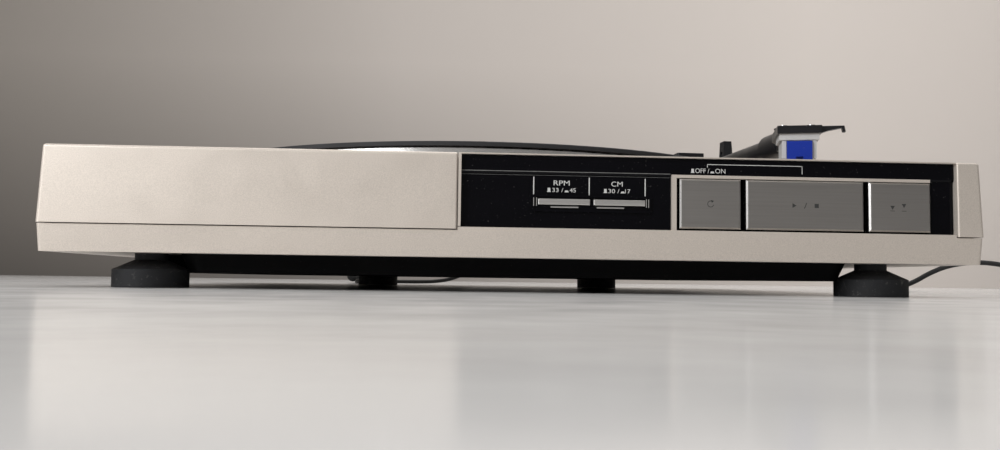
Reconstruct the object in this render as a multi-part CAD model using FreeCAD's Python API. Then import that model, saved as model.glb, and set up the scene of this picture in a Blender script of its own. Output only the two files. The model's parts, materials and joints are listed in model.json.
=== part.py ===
import FreeCAD, Part
import math
import os

V = FreeCAD.Vector

# Frame: origin on the floor under the middle of the plinth, X to the right, Y to the back, Z up.
# All sizes are in millimetres.

# Plinth
WIDTH = 361.6
DEPTH = 350.0
FRAME_BOTTOM = 13.2
FRAME_TOP = 23.5
GROOVE = 0.4
DECK_TOP = 53.2
CORNER_RADIUS = 1.5
SIDE_DRAFT_TOP = 1.3
SIDE_DRAFT_BOTTOM = 0.7
FRONT_DRAFT = 0.4
TOP_EDGE_RADIUS = 1.2
CASE_WALL = 2.6
DECK_THICKNESS = 3.0
STRIP_SETBACK = 0.8
FRAME_WALL = 3.0
FRAME_FLOOR = 2.5
TALL = 120.0
HALF_WIDTH = WIDTH / 2
HALF_DEPTH = DEPTH / 2
FRONT = -HALF_DEPTH

# Front pieces
FRONT_PIECE_DEPTH = 10.0
PIECE_CLEARANCE = 0.3
RIGHT_BLOCK_WIDTH = 10.6
RECESS_WIDTH = 193.7
LEFT_BLOCK_TRIM = 1.4
RIGHT_BLOCK_START = HALF_WIDTH - RIGHT_BLOCK_WIDTH
RECESS_RIGHT = RIGHT_BLOCK_START - PIECE_CLEARANCE
RECESS_LEFT = RECESS_RIGHT - RECESS_WIDTH
LEFT_BLOCK_END = RECESS_LEFT - LEFT_BLOCK_TRIM
LIP_THICKNESS = 0.5
LEDGE_RISE = 1.2
UPPER_STRIP_HEIGHT = 6.3
UPPER_STRIP_SETBACK = 2.5
UPPER_STRIP_THICKNESS = 3.0
STRIP_BEVEL = 0.8
PANEL_SETBACK = 3.3
BUTTON_POCKET = 5.1
BUTTON_DEPTH = 3.9

# Big buttons and the frame round them
BUTTON_FRAME_INSET = 81.3
BUTTON_FRAME_LEFT = RECESS_LEFT + BUTTON_FRAME_INSET
BUTTON_FRAME_BAR = 1.9
BUTTON_FRAME_TOP_BAR = 1.2
BUTTON_FRAME_SETBACK = 1.9
BUTTON_BOTTOM = 25.5
BUTTON_TOP = 44.8
BUTTON_SETBACK = 1.5
BUTTON_BEVEL = 0.6
BUTTON_GAP = 2.1
REPEAT_GAP = 1.2
REPEAT_LEFT = BUTTON_FRAME_LEFT + BUTTON_FRAME_BAR + REPEAT_GAP
REPEAT_WIDTH = 24.0
START_WIDTH = 46.6
CUE_WIDTH = 24.7
BUTTON_TRAVEL = 2.5
STEM_WIDTH = 6.0
STEM_HEIGHT = 5.0

# Speed and size keys
KEY_INSET = 29.5
KEY_LEFT = RECESS_LEFT + KEY_INSET
KEY_WIDTH = 20.1
KEY_GAP = 1.35
KEY_BOTTOM = 33.8
KEY_HEIGHT = 2.3
KEY_SETBACK = 1.8
KEY_TRAVEL = 2.0
KEY_SLOT_MARGIN = 0.4
BEZEL_RIM = 1.6
BEZEL_DEPTH = 1.0

# Feet, pan and screws
FOOT_RADIUS = 14.3
FOOT_BLOCK = 6.9
FOOT_CONE_TOP = 10.7
FOOT_EDGE = 0.4
FOOT_NECK_RADIUS = 6.2
FOOT_SCREW_RADIUS = 1.6
FOOT_SCREW_HEAD_RADIUS = 3.2
FOOT_SCREW_RECESS = 3.0
FRONT_FOOT_X = HALF_WIDTH - 36.2
FRONT_FOOT_Y = -HALF_DEPTH + 20.5
REAR_FOOT_X = HALF_WIDTH - 99.2
REAR_FOOT_Y = HALF_DEPTH - 23.0
PAN_BOTTOM = 6.0
PAN_WALL = 1.6
PAN_HALF_WIDTH = HALF_WIDTH - 48.7
PAN_DRAFT = 2.6
PAN_FRONT = -HALF_DEPTH + 10.0
PAN_BACK = HALF_DEPTH - 53.0
PAN_CORNER = 8.0
PAN_RIM = 12.0
# The pan widens on the left behind the front foot
PAN_WING = 25.9
PAN_WING_GAP = 3.0
CASE_SCREW_RADIUS = 1.5
CASE_SCREW_HEAD_RADIUS = 3.0
CASE_SCREW_HEAD = 1.8

# Hinge sockets for a lid, in the back edge of the deck
SOCKET_X = HALF_WIDTH - 62.8
SOCKET_WIDTH = 34.0
SOCKET_DEPTH = 12.0
SOCKET_HEIGHT = 17.0
SLOT_WIDTH = 24.0
SLOT_THICKNESS = 6.0
SLOT_DEPTH = 14.0
SOCKET_BACK_WALL = 2.6

# Platter, spindle and wells in the deck
PLATTER_SIDE_ROOM = 16.4
PLATTER_FRONT_ROOM = 16.9
MAT_RADIUS = min(HALF_WIDTH - 30.8, HALF_DEPTH - 25.0)
SPINDLE_X = -HALF_WIDTH + PLATTER_SIDE_ROOM + MAT_RADIUS
SPINDLE_Y = -HALF_DEPTH + PLATTER_FRONT_ROOM + MAT_RADIUS
SPINDLE_RADIUS = 3.57
SPINDLE_SHAFT_RADIUS = 4.2
SPINDLE_TOP = 72.0
SPINDLE_BOTTOM = 20.0
SPINDLE_TIP = 2.2
MAT_TOP = 60.05
MAT_THICKNESS = 1.85
LABEL_RADIUS = 51.0
LABEL_SINK = 0.7
GROOVE_PITCH = 12.0
GROOVE_WIDTH = 1.6
GROOVE_DEPTH = 0.5
PLATTER_RADIUS = MAT_RADIUS - 1.5
PLATTER_PLATE = 2.0
PLATTER_BOTTOM = 52.4
PLATTER_RIM = 4.0
PLATTER_EDGE = 0.8
BELT_RIM_RADIUS = MAT_RADIUS - 70.0
BELT_RIM_WALL = 3.0
BELT_RIM_BOTTOM = 50.5
HUB_RADIUS = 12.0
RUNNING_CLEARANCE = 0.05
WELL_RADIUS = MAT_RADIUS + 3.5
WELL_FLOOR = 51.2
DRIVE_WELL_RADIUS = BELT_RIM_RADIUS + 15.0
DRIVE_WELL_FLOOR = 44.0
WELL_WALL = 2.5

# Bearing and sub-chassis
HOUSING_RADIUS = 7.0
HOUSING_TOP = 44.6
HOUSING_BOTTOM = 17.5
FLANGE_RADIUS = 15.0
FLANGE_THICKNESS = 2.5
SUB_CHASSIS_THICKNESS = 1.5
SUB_CHASSIS_MARGIN = 14.0

# Motor, pulley and belt
MOTOR_DISTANCE = BELT_RIM_RADIUS + 32.0
MOTOR_ANGLE = 135.0
MOTOR_RADIUS = 17.0
MOTOR_BODY_BOTTOM = 13.5
MOTOR_PLATE_THICKNESS = 1.5
MOTOR_PLATE_SIDE = 50.0
GROMMET_HEIGHT = 3.0
GROMMET_RADIUS = 4.5
GROMMET_RING = 21.0
PULLEY_RADIUS = 7.0
PULLEY_FLANGE_RADIUS = 8.3
PULLEY_FLANGE = 0.6
SHAFT_RADIUS = 1.0
BELT_THICKNESS = 0.6
BELT_WIDTH = 4.2
BELT_CLEARANCE = 0.1
LOBE_HALF_WIDTH = 31.0
LOBE_END = 20.0

# Gears
GEAR_MODULE = 1.0
PINION_TEETH = 18
CAM_TEETH = 100
CAM_GAP_TEETH = 9
GEAR_CLEARANCE = 0.15
GEAR_BOTTOM = 45.0
GEAR_THICKNESS = 4.0
CAM_POST_RADIUS = 3.0
CAM_ISLAND_RADIUS = 18.0
CAM_TRACK_OUTER = 43.0
CAM_TRACK_DEPTH = 2.0

CHASSIS_BOTTOM = DRIVE_WELL_FLOOR - WELL_WALL - SUB_CHASSIS_THICKNESS
MOTOR_PLATE_BOTTOM = DRIVE_WELL_FLOOR - WELL_WALL - GROMMET_HEIGHT - MOTOR_PLATE_THICKNESS
BELT_LOW = BELT_RIM_BOTTOM + 0.5

# Further casing details
BUTTON_FRAME_RAISE = 0.7
BEZEL_DROP = 2.6
TONGUE_RISE = 3.0
TONGUE_WALL = 1.5
PAN_SCREW_POCKET = 4.0
VENT_COUNT = 7
VENT_START = -60.0
VENT_PITCH = 9.0
VENT_LENGTH = 70.0
VENT_WIDTH = 3.0
CASE_SCREW_X = HALF_WIDTH - 58.3
CASE_SCREW_FRONT = -HALF_DEPTH + 27.0
CASE_SCREW_BACK = HALF_DEPTH - 67.0
FOOT_PLACES = [(-FRONT_FOOT_X, FRONT_FOOT_Y), (FRONT_FOOT_X, FRONT_FOOT_Y),
               (-REAR_FOOT_X, REAR_FOOT_Y), (REAR_FOOT_X, REAR_FOOT_Y)]
CASE_SCREWS = [(side * CASE_SCREW_X, y) for side in (-1, 1) for y in (CASE_SCREW_FRONT, CASE_SCREW_BACK)]

# Control board, transformer
BOARD_LEFT = -HALF_WIDTH + 12.8
BOARD_WIDTH = 50.0
BOARD_FRONT = 30.0
BOARD_LENGTH = 90.0
BOARD_THICKNESS = 1.6
BOARD_STANDOFF = 4.0
TRANSFORMER_X = HALF_WIDTH - 32.8
TRANSFORMER_Y = HALF_DEPTH - 55.0
TRANSFORMER_WIDTH = 36.0
TRANSFORMER_LENGTH = 42.0
TRANSFORMER_HEIGHT = 20.0

# Tonearm: pivot, tube, headshell
PIVOT_X = HALF_WIDTH - 44.8
PIVOT_Y = HALF_DEPTH - 80.0
ARM_AXIS = 77.6
REST_ANGLE = 3.0
OFFSET_ANGLE = 18.0
BEND_REACH = 165.0
BOSS_HALF = 5.8
TUBE_RADIUS = 4.8
TUBE_WALL = 0.8
TUBE_END = 150.0
REAR_SHAFT_RADIUS = 3.2
REAR_SHAFT_END = 48.0
PIVOT_PIN_RADIUS = 1.2
PIN_TIP = 3.4
RING_OVERLAP = 11.0
RING_LENGTH = 21.0
RING_RADIUS = 6.7
RING_KNOB_RISE = 1.9
RING_KNOB_CAP = 0.7
RING_KNOB_SHARE = 0.6
RING_KNOB_RADIUS = 2.7
PLUG_RADIUS = 3.6
SHELL_LENGTH = 38.0
SHELL_WIDTH = 20.0
PLATE_TOP = 1.4
PLATE_THICKNESS = 3.6
NECK_WIDTH = 13.0
NECK_LENGTH = 10.0
NECK_BACK = 2.9
NECK_RISE = 5.6
NECK_DROP = 5.0
NECK_REAR_REACH = 12.0
SCREW_X = 6.35
SCREW_Y = -29.0
SLOT_HALF = 1.4
LIFT_REACH = 10.3
FINGER_WIDTH = 3.0
CARTRIDGE_TOP = PLATE_TOP - PLATE_THICKNESS
CARTRIDGE_WIDTH = 18.0
CARTRIDGE_LENGTH = 17.0
CARTRIDGE_BOTTOM = -13.8
STYLUS_WIDTH = 11.4
STYLUS_DEPTH = 9.0
STYLUS_TOP = -5.6
STYLUS_BOTTOM = -15.2
STYLUS_TIP = -16.7

# Tonearm: pivot housing, base, rest, lift and weight
GIMBAL_WIDTH = 18.8
GIMBAL_DEPTH = 14.0
GIMBAL_WALL = 2.8
GIMBAL_BOTTOM = 58.0
GIMBAL_TOP = 93.9
SWING_SHAFT_RADIUS = 4.0
TRIP_BOTTOM = 40.0
TRIP_THICKNESS = 2.0
TRIP_RADIUS = 34.0
BASE_RADIUS = 20.0
BASE_TOP = 57.4
ARM_HOLE_RADIUS = 7.7
REST_REACH = 48.0
REST_POST_X = 9.5
REST_POST_WIDTH = 5.2
REST_POST_DEPTH = 8.4
REST_SHOULDER = 5.0
CLAMP_AXIS = 8.6
CLAMP_PIN = 1.0
CLAMP_DEPTH = 7.6
CLAMP_BASE = 6.0
CLAMP_TIP = 4.6
CLAMP_TOP = 17.8
WEIGHT_START = 18.0
WEIGHT_LENGTH = 20.0
WEIGHT_RADIUS = 14.0
WEIGHT_BORE = 5.6
DIAL_RING = 4.0
LIFT_ARC = 32.0
LIFT_POST_ANGLE = -10.0
LIFT_BAR_WIDTH = 4.4
LIFT_BAR_HEIGHT = 3.0
LIFT_OUTER = 9.0
LIFT_INNER = 46.0
LIFT_ROD_RADIUS = 2.5
LIFT_SLEEVE_RADIUS = 4.2
LIFT_SLEEVE_TOP = 62.0
LIFT_X = PIVOT_X + LIFT_ARC * math.sin(math.radians(LIFT_POST_ANGLE))
LIFT_Y = PIVOT_Y - LIFT_ARC * math.cos(math.radians(LIFT_POST_ANGLE))
DIAL_X = PIVOT_X + 27.0
DIAL_Y = PIVOT_Y - 39.0
DIAL_RADIUS = 8.0
DIAL_HEIGHT = 4.6
DIAL_STEM_RADIUS = 2.5

# Drive lever under the deck
LEVER_OFFSET_X = 59.2
LEVER_OFFSET_Y = 29.5
LEVER_REACH = 54.0
LEVER_BOTTOM = 36.0
LEVER_THICKNESS = 2.0
LEVER_WIDTH = 6.0
LEVER_TAIL = 34.0
LEVER_HUB_RADIUS = 6.0
LEVER_POST_RADIUS = 3.0
LEVER_SWING = 10.0
LEVER_PIN_RADIUS = 1.5
LEVER_PIN_ROOM = 0.8

# Cords
MAINS_RADIUS = 2.2
MAINS_EXIT_X = HALF_WIDTH - 18.8
MAINS_EXIT_Z = 36.0
MAINS_RELIEF_LENGTH = 28.0
MAINS_RELIEF_RADIUS = 4.6
PHONO_RADIUS = 1.5
PHONO_EXIT_X = -8.0
PHONO_EXIT_Z = 32.0
PHONO_RELIEF_LENGTH = 16.0
PHONO_RELIEF_RADIUS = 3.4
RELIEFS = [(MAINS_EXIT_X, MAINS_EXIT_Z, MAINS_RELIEF_RADIUS),
           (PHONO_EXIT_X, PHONO_EXIT_Z, PHONO_RELIEF_RADIUS)]
LOOP_GAP = 1.3
COIL_INNER = 19.0
COIL_TURNS = 3
COIL_PLACE = (MAINS_EXIT_X + 200.0, HALF_DEPTH - 145.0)
COIL_TAIL = 21.0
HANK_RUN = 60.0
HANK_INNER = 9.0
HANK_TURNS = 2
HANK_TAIL = 14.0
HANK_PLACE = (PHONO_EXIT_X - 86.0, HALF_DEPTH + 101.0)
HANK_HEADING = 184.9
PLUG_WIDTH = 30.0
PLUG_LENGTH = 26.0
PLUG_NECK = 16.0
PHONO_SPLIT = 12.0
PHONO_PLUG_SPREAD = 5.9
PHONO_PLUG_LENGTH = 30.0
PHONO_PLUG_RADIUS = 5.4
TIE_THICKNESS = 0.8
TIE_WIDTH = 6.0
TIE_ROOM = 0.15
PIN_RADIUS = 2.0
PIN_LENGTH = 19.0
PIN_SPREAD = 9.3
MAINS_LEAD = 22.0
PHONO_LEAD = 14.0
# Both routes are measured from where the cord leaves the back face, but their heights from the floor.
MAINS_ROUTE = [(0, 46, 36.0), (4, 66, 34.5), (16, 83.5, 31.0), (37, 95, 26.5), (63, 101.5, 22.0),
               (90, 104.5, 18.5), (118, 106, 15.5), (144, 107, 12.0), (168, 108, 8.0),
               (190, 109.5, 4.2), (210, 111.5, 2.3), (226, 113.5, 3.2), (240, 114.5, 8.5),
               (252, 112.5, 16.0), (264, 106, 22.5), (276, 95.5, 26.0), (288, 82, 26.3),
               (299, 66.5, 23.0), (307, 48, 17.0), (309.5, 28, 9.5), (305, 10, 3.6), (295, -7, 2.2),
               (284, -24, 2.2), (272, -43, 2.2), (258, -62, 2.2), (244, -79, 2.3), (236.5, -96, 2.4)]
PHONO_ROUTE = [(0.0, 27.0, 32.0), (-0.6, 36.5, 24.0), (-3.5, 43.5, 15.5), (-10.0, 47.5, 8.8),
               (-19.5, 49.5, 4.8), (-30.5, 50.0, 2.9), (-42.0, 48.5, 2.3), (-56.0, 45.5, 2.2),
               (-71.0, 42.5, 2.3), (-86.0, 42.0, 2.4)]


def box(x0, y0, z0, x1, y1, z1):
    return Part.makeBox(x1 - x0, y1 - y0, z1 - z0, V(x0, y0, z0))


def disc(x, y, z0, z1, radius):
    return Part.makeCylinder(radius, z1 - z0, V(x, y, z0))


def ring(x, y, z0, z1, outer, inner):
    return disc(x, y, z0, z1, outer).cut(disc(x, y, z0, z1, inner))


def cone(x, y, z0, z1, lower, upper):
    return Part.makeCone(lower, upper, z1 - z0, V(x, y, z0))


def turned(shape, angle, centre=V(0, 0, 0), axis=V(0, 0, 1)):
    copy = shape.copy()
    copy.rotate(centre, axis, angle)
    return copy


def moved(shape, x, y, z):
    copy = shape.copy()
    copy.translate(V(x, y, z))
    return copy


def joined(shapes):
    return shapes[0].multiFuse(shapes[1:]).removeSplitter()


def rounded_wire(x0, y0, x1, y1, z, radius):
    diagonal = radius * (1 - math.sqrt(0.5))
    edges = [Part.LineSegment(V(x0 + radius, y0, z), V(x1 - radius, y0, z)).toShape()]
    edges.append(Part.Arc(V(x1 - radius, y0, z), V(x1 - diagonal, y0 + diagonal, z),
                          V(x1, y0 + radius, z)).toShape())
    edges.append(Part.LineSegment(V(x1, y0 + radius, z), V(x1, y1 - radius, z)).toShape())
    edges.append(Part.Arc(V(x1, y1 - radius, z), V(x1 - diagonal, y1 - diagonal, z),
                          V(x1 - radius, y1, z)).toShape())
    edges.append(Part.LineSegment(V(x1 - radius, y1, z), V(x0 + radius, y1, z)).toShape())
    edges.append(Part.Arc(V(x0 + radius, y1, z), V(x0 + diagonal, y1 - diagonal, z),
                          V(x0, y1 - radius, z)).toShape())
    edges.append(Part.LineSegment(V(x0, y1 - radius, z), V(x0, y0 + radius, z)).toShape())
    edges.append(Part.Arc(V(x0, y0 + radius, z), V(x0 + diagonal, y0 + diagonal, z),
                          V(x0 + radius, y0, z)).toShape())
    return Part.Wire(edges)


def rounded_block(x0, y0, x1, y1, z0, z1, radius):
    face = Part.Face(rounded_wire(x0, y0, x1, y1, z0, radius))
    return face.extrude(V(0, 0, z1 - z0))


def drafted_block(lower, z0, upper, z1, radius):
    wires = [rounded_wire(*lower, z0, radius), rounded_wire(*upper, z1, radius)]
    return Part.makeLoft(wires, True)


def edges_where(shape, test):
    return [edge for edge in shape.Edges if test(edge.BoundBox)]


def extruded_outline(points, direction):
    wire = Part.makePolygon(points + [points[0]])
    return Part.Face(wire).extrude(direction)


# Levels that follow from the sizes above
CASE_BOTTOM = FRAME_TOP + GROOVE
DECK_UNDERSIDE = DECK_TOP - DECK_THICKNESS
FRONT_PIECE_BACK = FRONT + FRONT_PIECE_DEPTH
CASE_FRONT = FRONT_PIECE_BACK + PIECE_CLEARANCE
CASE_FRONT_BACK = CASE_FRONT + CASE_WALL
LEDGE_TOP = FRAME_TOP + LEDGE_RISE
LIP_UNDERSIDE = DECK_TOP - LIP_THICKNESS
STRIP_BOTTOM = LIP_UNDERSIDE - UPPER_STRIP_HEIGHT
PANEL_TOP = STRIP_BOTTOM - STRIP_BEVEL
PANEL_FACE = FRONT + PANEL_SETBACK
BUTTON_FACE = FRONT + BUTTON_SETBACK


def case_rectangle(z, inset):
    share = (z - CASE_BOTTOM) / (DECK_TOP - CASE_BOTTOM)
    side = SIDE_DRAFT_TOP * share + inset
    front = FRONT_DRAFT * share + inset
    return (-HALF_WIDTH + side, FRONT + front, HALF_WIDTH - side, HALF_DEPTH - side)


def case_body(z0, z1, inset):
    radius = max(CORNER_RADIUS - inset, 1.0)
    return drafted_block(case_rectangle(z0, inset), z0, case_rectangle(z1, inset), z1, radius)


def outer_case():
    body = case_body(CASE_BOTTOM, DECK_TOP, 0.0)
    top = edges_where(body, lambda b: b.ZMin > DECK_TOP - 0.01)
    return body.makeFillet(TOP_EDGE_RADIUS, top)


def lower_rectangle(z, inset):
    share = (FRAME_TOP - z) / (FRAME_TOP - FRAME_BOTTOM)
    side = SIDE_DRAFT_BOTTOM * share + inset
    return (-HALF_WIDTH + side, FRONT + STRIP_SETBACK + side, HALF_WIDTH - side, HALF_DEPTH - side)


# Buttons from left to right: name, left edge and width
BUTTONS = []
button_left = REPEAT_LEFT
for button_name, button_width in (("repeat", REPEAT_WIDTH), ("start", START_WIDTH), ("cue", CUE_WIDTH)):
    BUTTONS.append((button_name, button_left, button_width))
    button_left += button_width + BUTTON_GAP
BUTTON_FRAME_END = button_left - BUTTON_GAP
KEYS = [("speed", KEY_LEFT), ("size", KEY_LEFT + KEY_WIDTH + KEY_GAP)]
BUTTON_MIDDLE = (BUTTON_BOTTOM + BUTTON_TOP) / 2
SWITCH_FRONT = CASE_FRONT_BACK
SWITCH_MARGIN = 3.0
SWITCH_DEPTH = 12.0
SWITCH_BACK = SWITCH_FRONT + SWITCH_DEPTH
STEM_MARGIN = 0.3


def stems(margin, y0, y1):
    shapes = []
    for _, left, width in BUTTONS:
        middle = left + width / 2
        half = STEM_WIDTH / 2 + margin
        low = BUTTON_MIDDLE - STEM_HEIGHT / 2 - margin
        high = BUTTON_MIDDLE + STEM_HEIGHT / 2 + margin
        shapes.append(box(middle - half, y0, low, middle + half, y1, high))
    for _, left in KEYS:
        low = KEY_BOTTOM - margin
        high = KEY_BOTTOM + KEY_HEIGHT + margin
        shapes.append(box(left - margin, y0, low, left + KEY_WIDTH + margin, y1, high))
    return shapes


def front_region(x0, x1, y1):
    return box(x0, FRONT - 1, CASE_BOTTOM - 1, x1, y1, DECK_TOP + 1)


def socket_box(side, inset, top):
    half = SOCKET_WIDTH / 2 - inset
    middle = side * SOCKET_X
    y1 = case_rectangle(DECK_TOP, 0.0)[3]
    low = DECK_TOP - SOCKET_HEIGHT + inset
    return box(middle - half, y1 - SOCKET_DEPTH + inset, low, middle + half, y1 - inset, top)


MOTOR_X = SPINDLE_X + MOTOR_DISTANCE * math.cos(math.radians(MOTOR_ANGLE))
MOTOR_Y = SPINDLE_Y + MOTOR_DISTANCE * math.sin(math.radians(MOTOR_ANGLE))
GEAR_DISTANCE = GEAR_MODULE * (PINION_TEETH + CAM_TEETH) / 2
CAM_ANGLE = 35.0
CAM_X = SPINDLE_X + GEAR_DISTANCE * math.cos(math.radians(CAM_ANGLE))
CAM_Y = SPINDLE_Y + GEAR_DISTANCE * math.sin(math.radians(CAM_ANGLE))
LEVER_X = CAM_X + LEVER_OFFSET_X
LEVER_Y = CAM_Y + LEVER_OFFSET_Y
CAM_OUTER_RADIUS = GEAR_MODULE * (CAM_TEETH / 2 + 1)
CAM_WELL_RADIUS = CAM_OUTER_RADIUS + 4.0


def drive_well(margin, z0, z1):
    centre = V(SPINDLE_X, SPINDLE_Y, 0)
    half = LOBE_HALF_WIDTH + margin
    lobe = rounded_block(0, -half, MOTOR_DISTANCE + LOBE_END + margin, half, z0, z1, 12.0)
    lobe = moved(turned(lobe, MOTOR_ANGLE), centre.x, centre.y, 0)
    main = disc(SPINDLE_X, SPINDLE_Y, z0, z1, DRIVE_WELL_RADIUS + margin)
    cam = disc(CAM_X, CAM_Y, z0, z1, CAM_WELL_RADIUS + margin)
    return joined([main, lobe, cam])


def make_cabinet():
    outer = outer_case().cut(front_region(-HALF_WIDTH - 1, HALF_WIDTH + 1, CASE_FRONT))
    hollow = case_body(CASE_BOTTOM - 1, DECK_UNDERSIDE, CASE_WALL)
    hollow = hollow.cut(front_region(-HALF_WIDTH - 1, HALF_WIDTH + 1, CASE_FRONT_BACK).fuse(
        box(-HALF_WIDTH, FRONT, 0, HALF_WIDTH, CASE_FRONT_BACK, DECK_TOP)))
    shell = outer.cut(hollow)
    lip = box(RECESS_LEFT, FRONT + STRIP_SETBACK, LIP_UNDERSIDE, RECESS_RIGHT, CASE_FRONT + 1, DECK_TOP)
    trim = box(LEFT_BLOCK_END + PIECE_CLEARANCE, FRONT + STRIP_SETBACK, LEDGE_TOP + PIECE_CLEARANCE,
               RECESS_LEFT, CASE_FRONT + 1, DECK_TOP)
    well_mass = disc(SPINDLE_X, SPINDLE_Y, WELL_FLOOR - DECK_THICKNESS, DECK_UNDERSIDE + 1,
                     WELL_RADIUS + WELL_WALL)
    well_mass = well_mass.common(box(-HALF_WIDTH + CASE_WALL + 1, CASE_FRONT_BACK - 1, 0,
                                     HALF_WIDTH - CASE_WALL - 1, HALF_DEPTH, TALL))
    floor = drive_well(WELL_WALL, DRIVE_WELL_FLOOR - WELL_WALL, DECK_UNDERSIDE)
    sockets = []
    for side in (-1, 1):
        sockets.append(socket_box(side, -1.8, DECK_UNDERSIDE + 1).common(
            box(-HALF_WIDTH, 0, 0, HALF_WIDTH, HALF_DEPTH - CASE_WALL, DECK_TOP)))
    post = disc(LEVER_X, LEVER_Y, LEVER_BOTTOM - 1, WELL_FLOOR - 1, LEVER_POST_RADIUS)
    shell = shell.multiFuse([lip, trim, well_mass, floor, post] + sockets)
    cuts = [disc(SPINDLE_X, SPINDLE_Y, WELL_FLOOR, DECK_TOP + 1, WELL_RADIUS)]
    cuts.append(drive_well(0.0, DRIVE_WELL_FLOOR, DECK_TOP + 1))
    cuts.append(disc(SPINDLE_X, SPINDLE_Y, 0, DECK_TOP, HOUSING_RADIUS + PIECE_CLEARANCE))
    cuts.append(disc(MOTOR_X, MOTOR_Y, 0, DECK_TOP, PULLEY_FLANGE_RADIUS + 2.5))
    cuts.append(disc(CAM_X, CAM_Y, 0, DECK_TOP, CAM_POST_RADIUS + PIECE_CLEARANCE))
    cuts.extend(stems(STEM_MARGIN + 0.2, CASE_FRONT - 1, CASE_FRONT_BACK + 1))
    for side in (-1, 1):
        cuts.append(socket_box(side, -PIECE_CLEARANCE, DECK_TOP + 1))
    for x, z, radius in RELIEFS:
        cuts.append(Part.makeCylinder(radius + PIECE_CLEARANCE, 20, V(x, HALF_DEPTH - 15, z), V(0, 1, 0)))
    cuts.append(disc(PIVOT_X, PIVOT_Y, DECK_UNDERSIDE - 1, DECK_TOP + 1, ARM_HOLE_RADIUS))
    cuts.append(disc(LIFT_X, LIFT_Y, DECK_UNDERSIDE - 1, DECK_TOP + 1, LIFT_SLEEVE_RADIUS + 0.1))
    cuts.append(disc(DIAL_X, DIAL_Y, DECK_UNDERSIDE - 1, DECK_TOP + 1, DIAL_STEM_RADIUS + 0.1))
    pin_x = LEVER_X - LEVER_REACH
    travel = LEVER_REACH * math.sin(math.radians(LEVER_SWING))
    room = LEVER_PIN_RADIUS + LEVER_PIN_ROOM
    cuts.append(box(pin_x - room, LEVER_Y - room, 0, pin_x + room + 1, LEVER_Y + travel + room,
                    DECK_UNDERSIDE))
    return shell.cut(Part.makeCompound(cuts))


def make_front_block(x0, x1, hollow):
    block = outer_case().common(front_region(x0, x1, FRONT_PIECE_BACK))
    inner_edge = x1 if x1 < 0 else x0
    corner = edges_where(block,
                         lambda b: b.ZLength > 20 and abs(b.XMin - inner_edge) < 0.1 and b.YMax < FRONT + 2)
    block = block.makeFillet(0.7, corner)
    if hollow:
        wall = 2.0
        inner = case_body(CASE_BOTTOM + wall, DECK_TOP - wall, wall)
        block = block.cut(inner.common(box(x0 + wall, FRONT, 0, x1 - wall, FRONT_PIECE_BACK + 1, TALL)))
    return block


def make_lower_frame():
    z0, z1 = FRAME_BOTTOM, FRAME_TOP
    outer = drafted_block(lower_rectangle(z0, 0.0), z0, lower_rectangle(z1, 0.0), z1, CORNER_RADIUS)
    floor_top = z0 + FRAME_FLOOR
    inner = drafted_block(lower_rectangle(z0, FRAME_WALL), z0, lower_rectangle(z1, FRAME_WALL), z1 + 1, 1.5)
    frame = outer.cut(inner.common(box(-WIDTH, -DEPTH, floor_top, WIDTH, DEPTH, TALL)))
    low = FRAME_TOP - 1.0
    high_front = lower_rectangle(LEDGE_TOP, 0.0)[1]
    ledge_left = LEFT_BLOCK_END + PIECE_CLEARANCE
    ledge_back = CASE_FRONT - PIECE_CLEARANCE
    outline = [V(ledge_left, lower_rectangle(low, 0.0)[1], low), V(ledge_left, high_front, LEDGE_TOP)]
    outline += [V(ledge_left, ledge_back, LEDGE_TOP), V(ledge_left, ledge_back, low)]
    ledge = extruded_outline(outline, V(RECESS_RIGHT - ledge_left, 0, 0))
    gap = CASE_WALL + PIECE_CLEARANCE
    x0, _, x1, y1 = case_rectangle(CASE_BOTTOM, gap)
    y0 = CASE_FRONT_BACK + PIECE_CLEARANCE
    tongue = rounded_block(x0, y0, x1, y1, floor_top - 0.5, CASE_BOTTOM + TONGUE_RISE, 1.5)
    w = TONGUE_WALL
    tongue = tongue.cut(rounded_block(x0 + w, y0 + w, x1 - w, y1 - w, floor_top - 1, 60, 1.0))
    frame = joined([frame, ledge, tongue])
    opening = rounded_block(-PAN_HALF_WIDTH + PAN_RIM, PAN_FRONT + PAN_RIM, PAN_HALF_WIDTH - PAN_RIM,
                            PAN_BACK - PAN_RIM, z0 - 1, floor_top + 1, PAN_CORNER)
    cuts = [opening]
    for x, y in FOOT_PLACES:
        cuts.append(disc(x, y, z0 - 1, floor_top + 1, FOOT_SCREW_RADIUS))
    for x, y in CASE_SCREWS:
        cuts.append(disc(x, y, z0 - 1, floor_top + 1, CASE_SCREW_RADIUS + 0.1))
    return frame.cut(Part.makeCompound(cuts))


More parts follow.
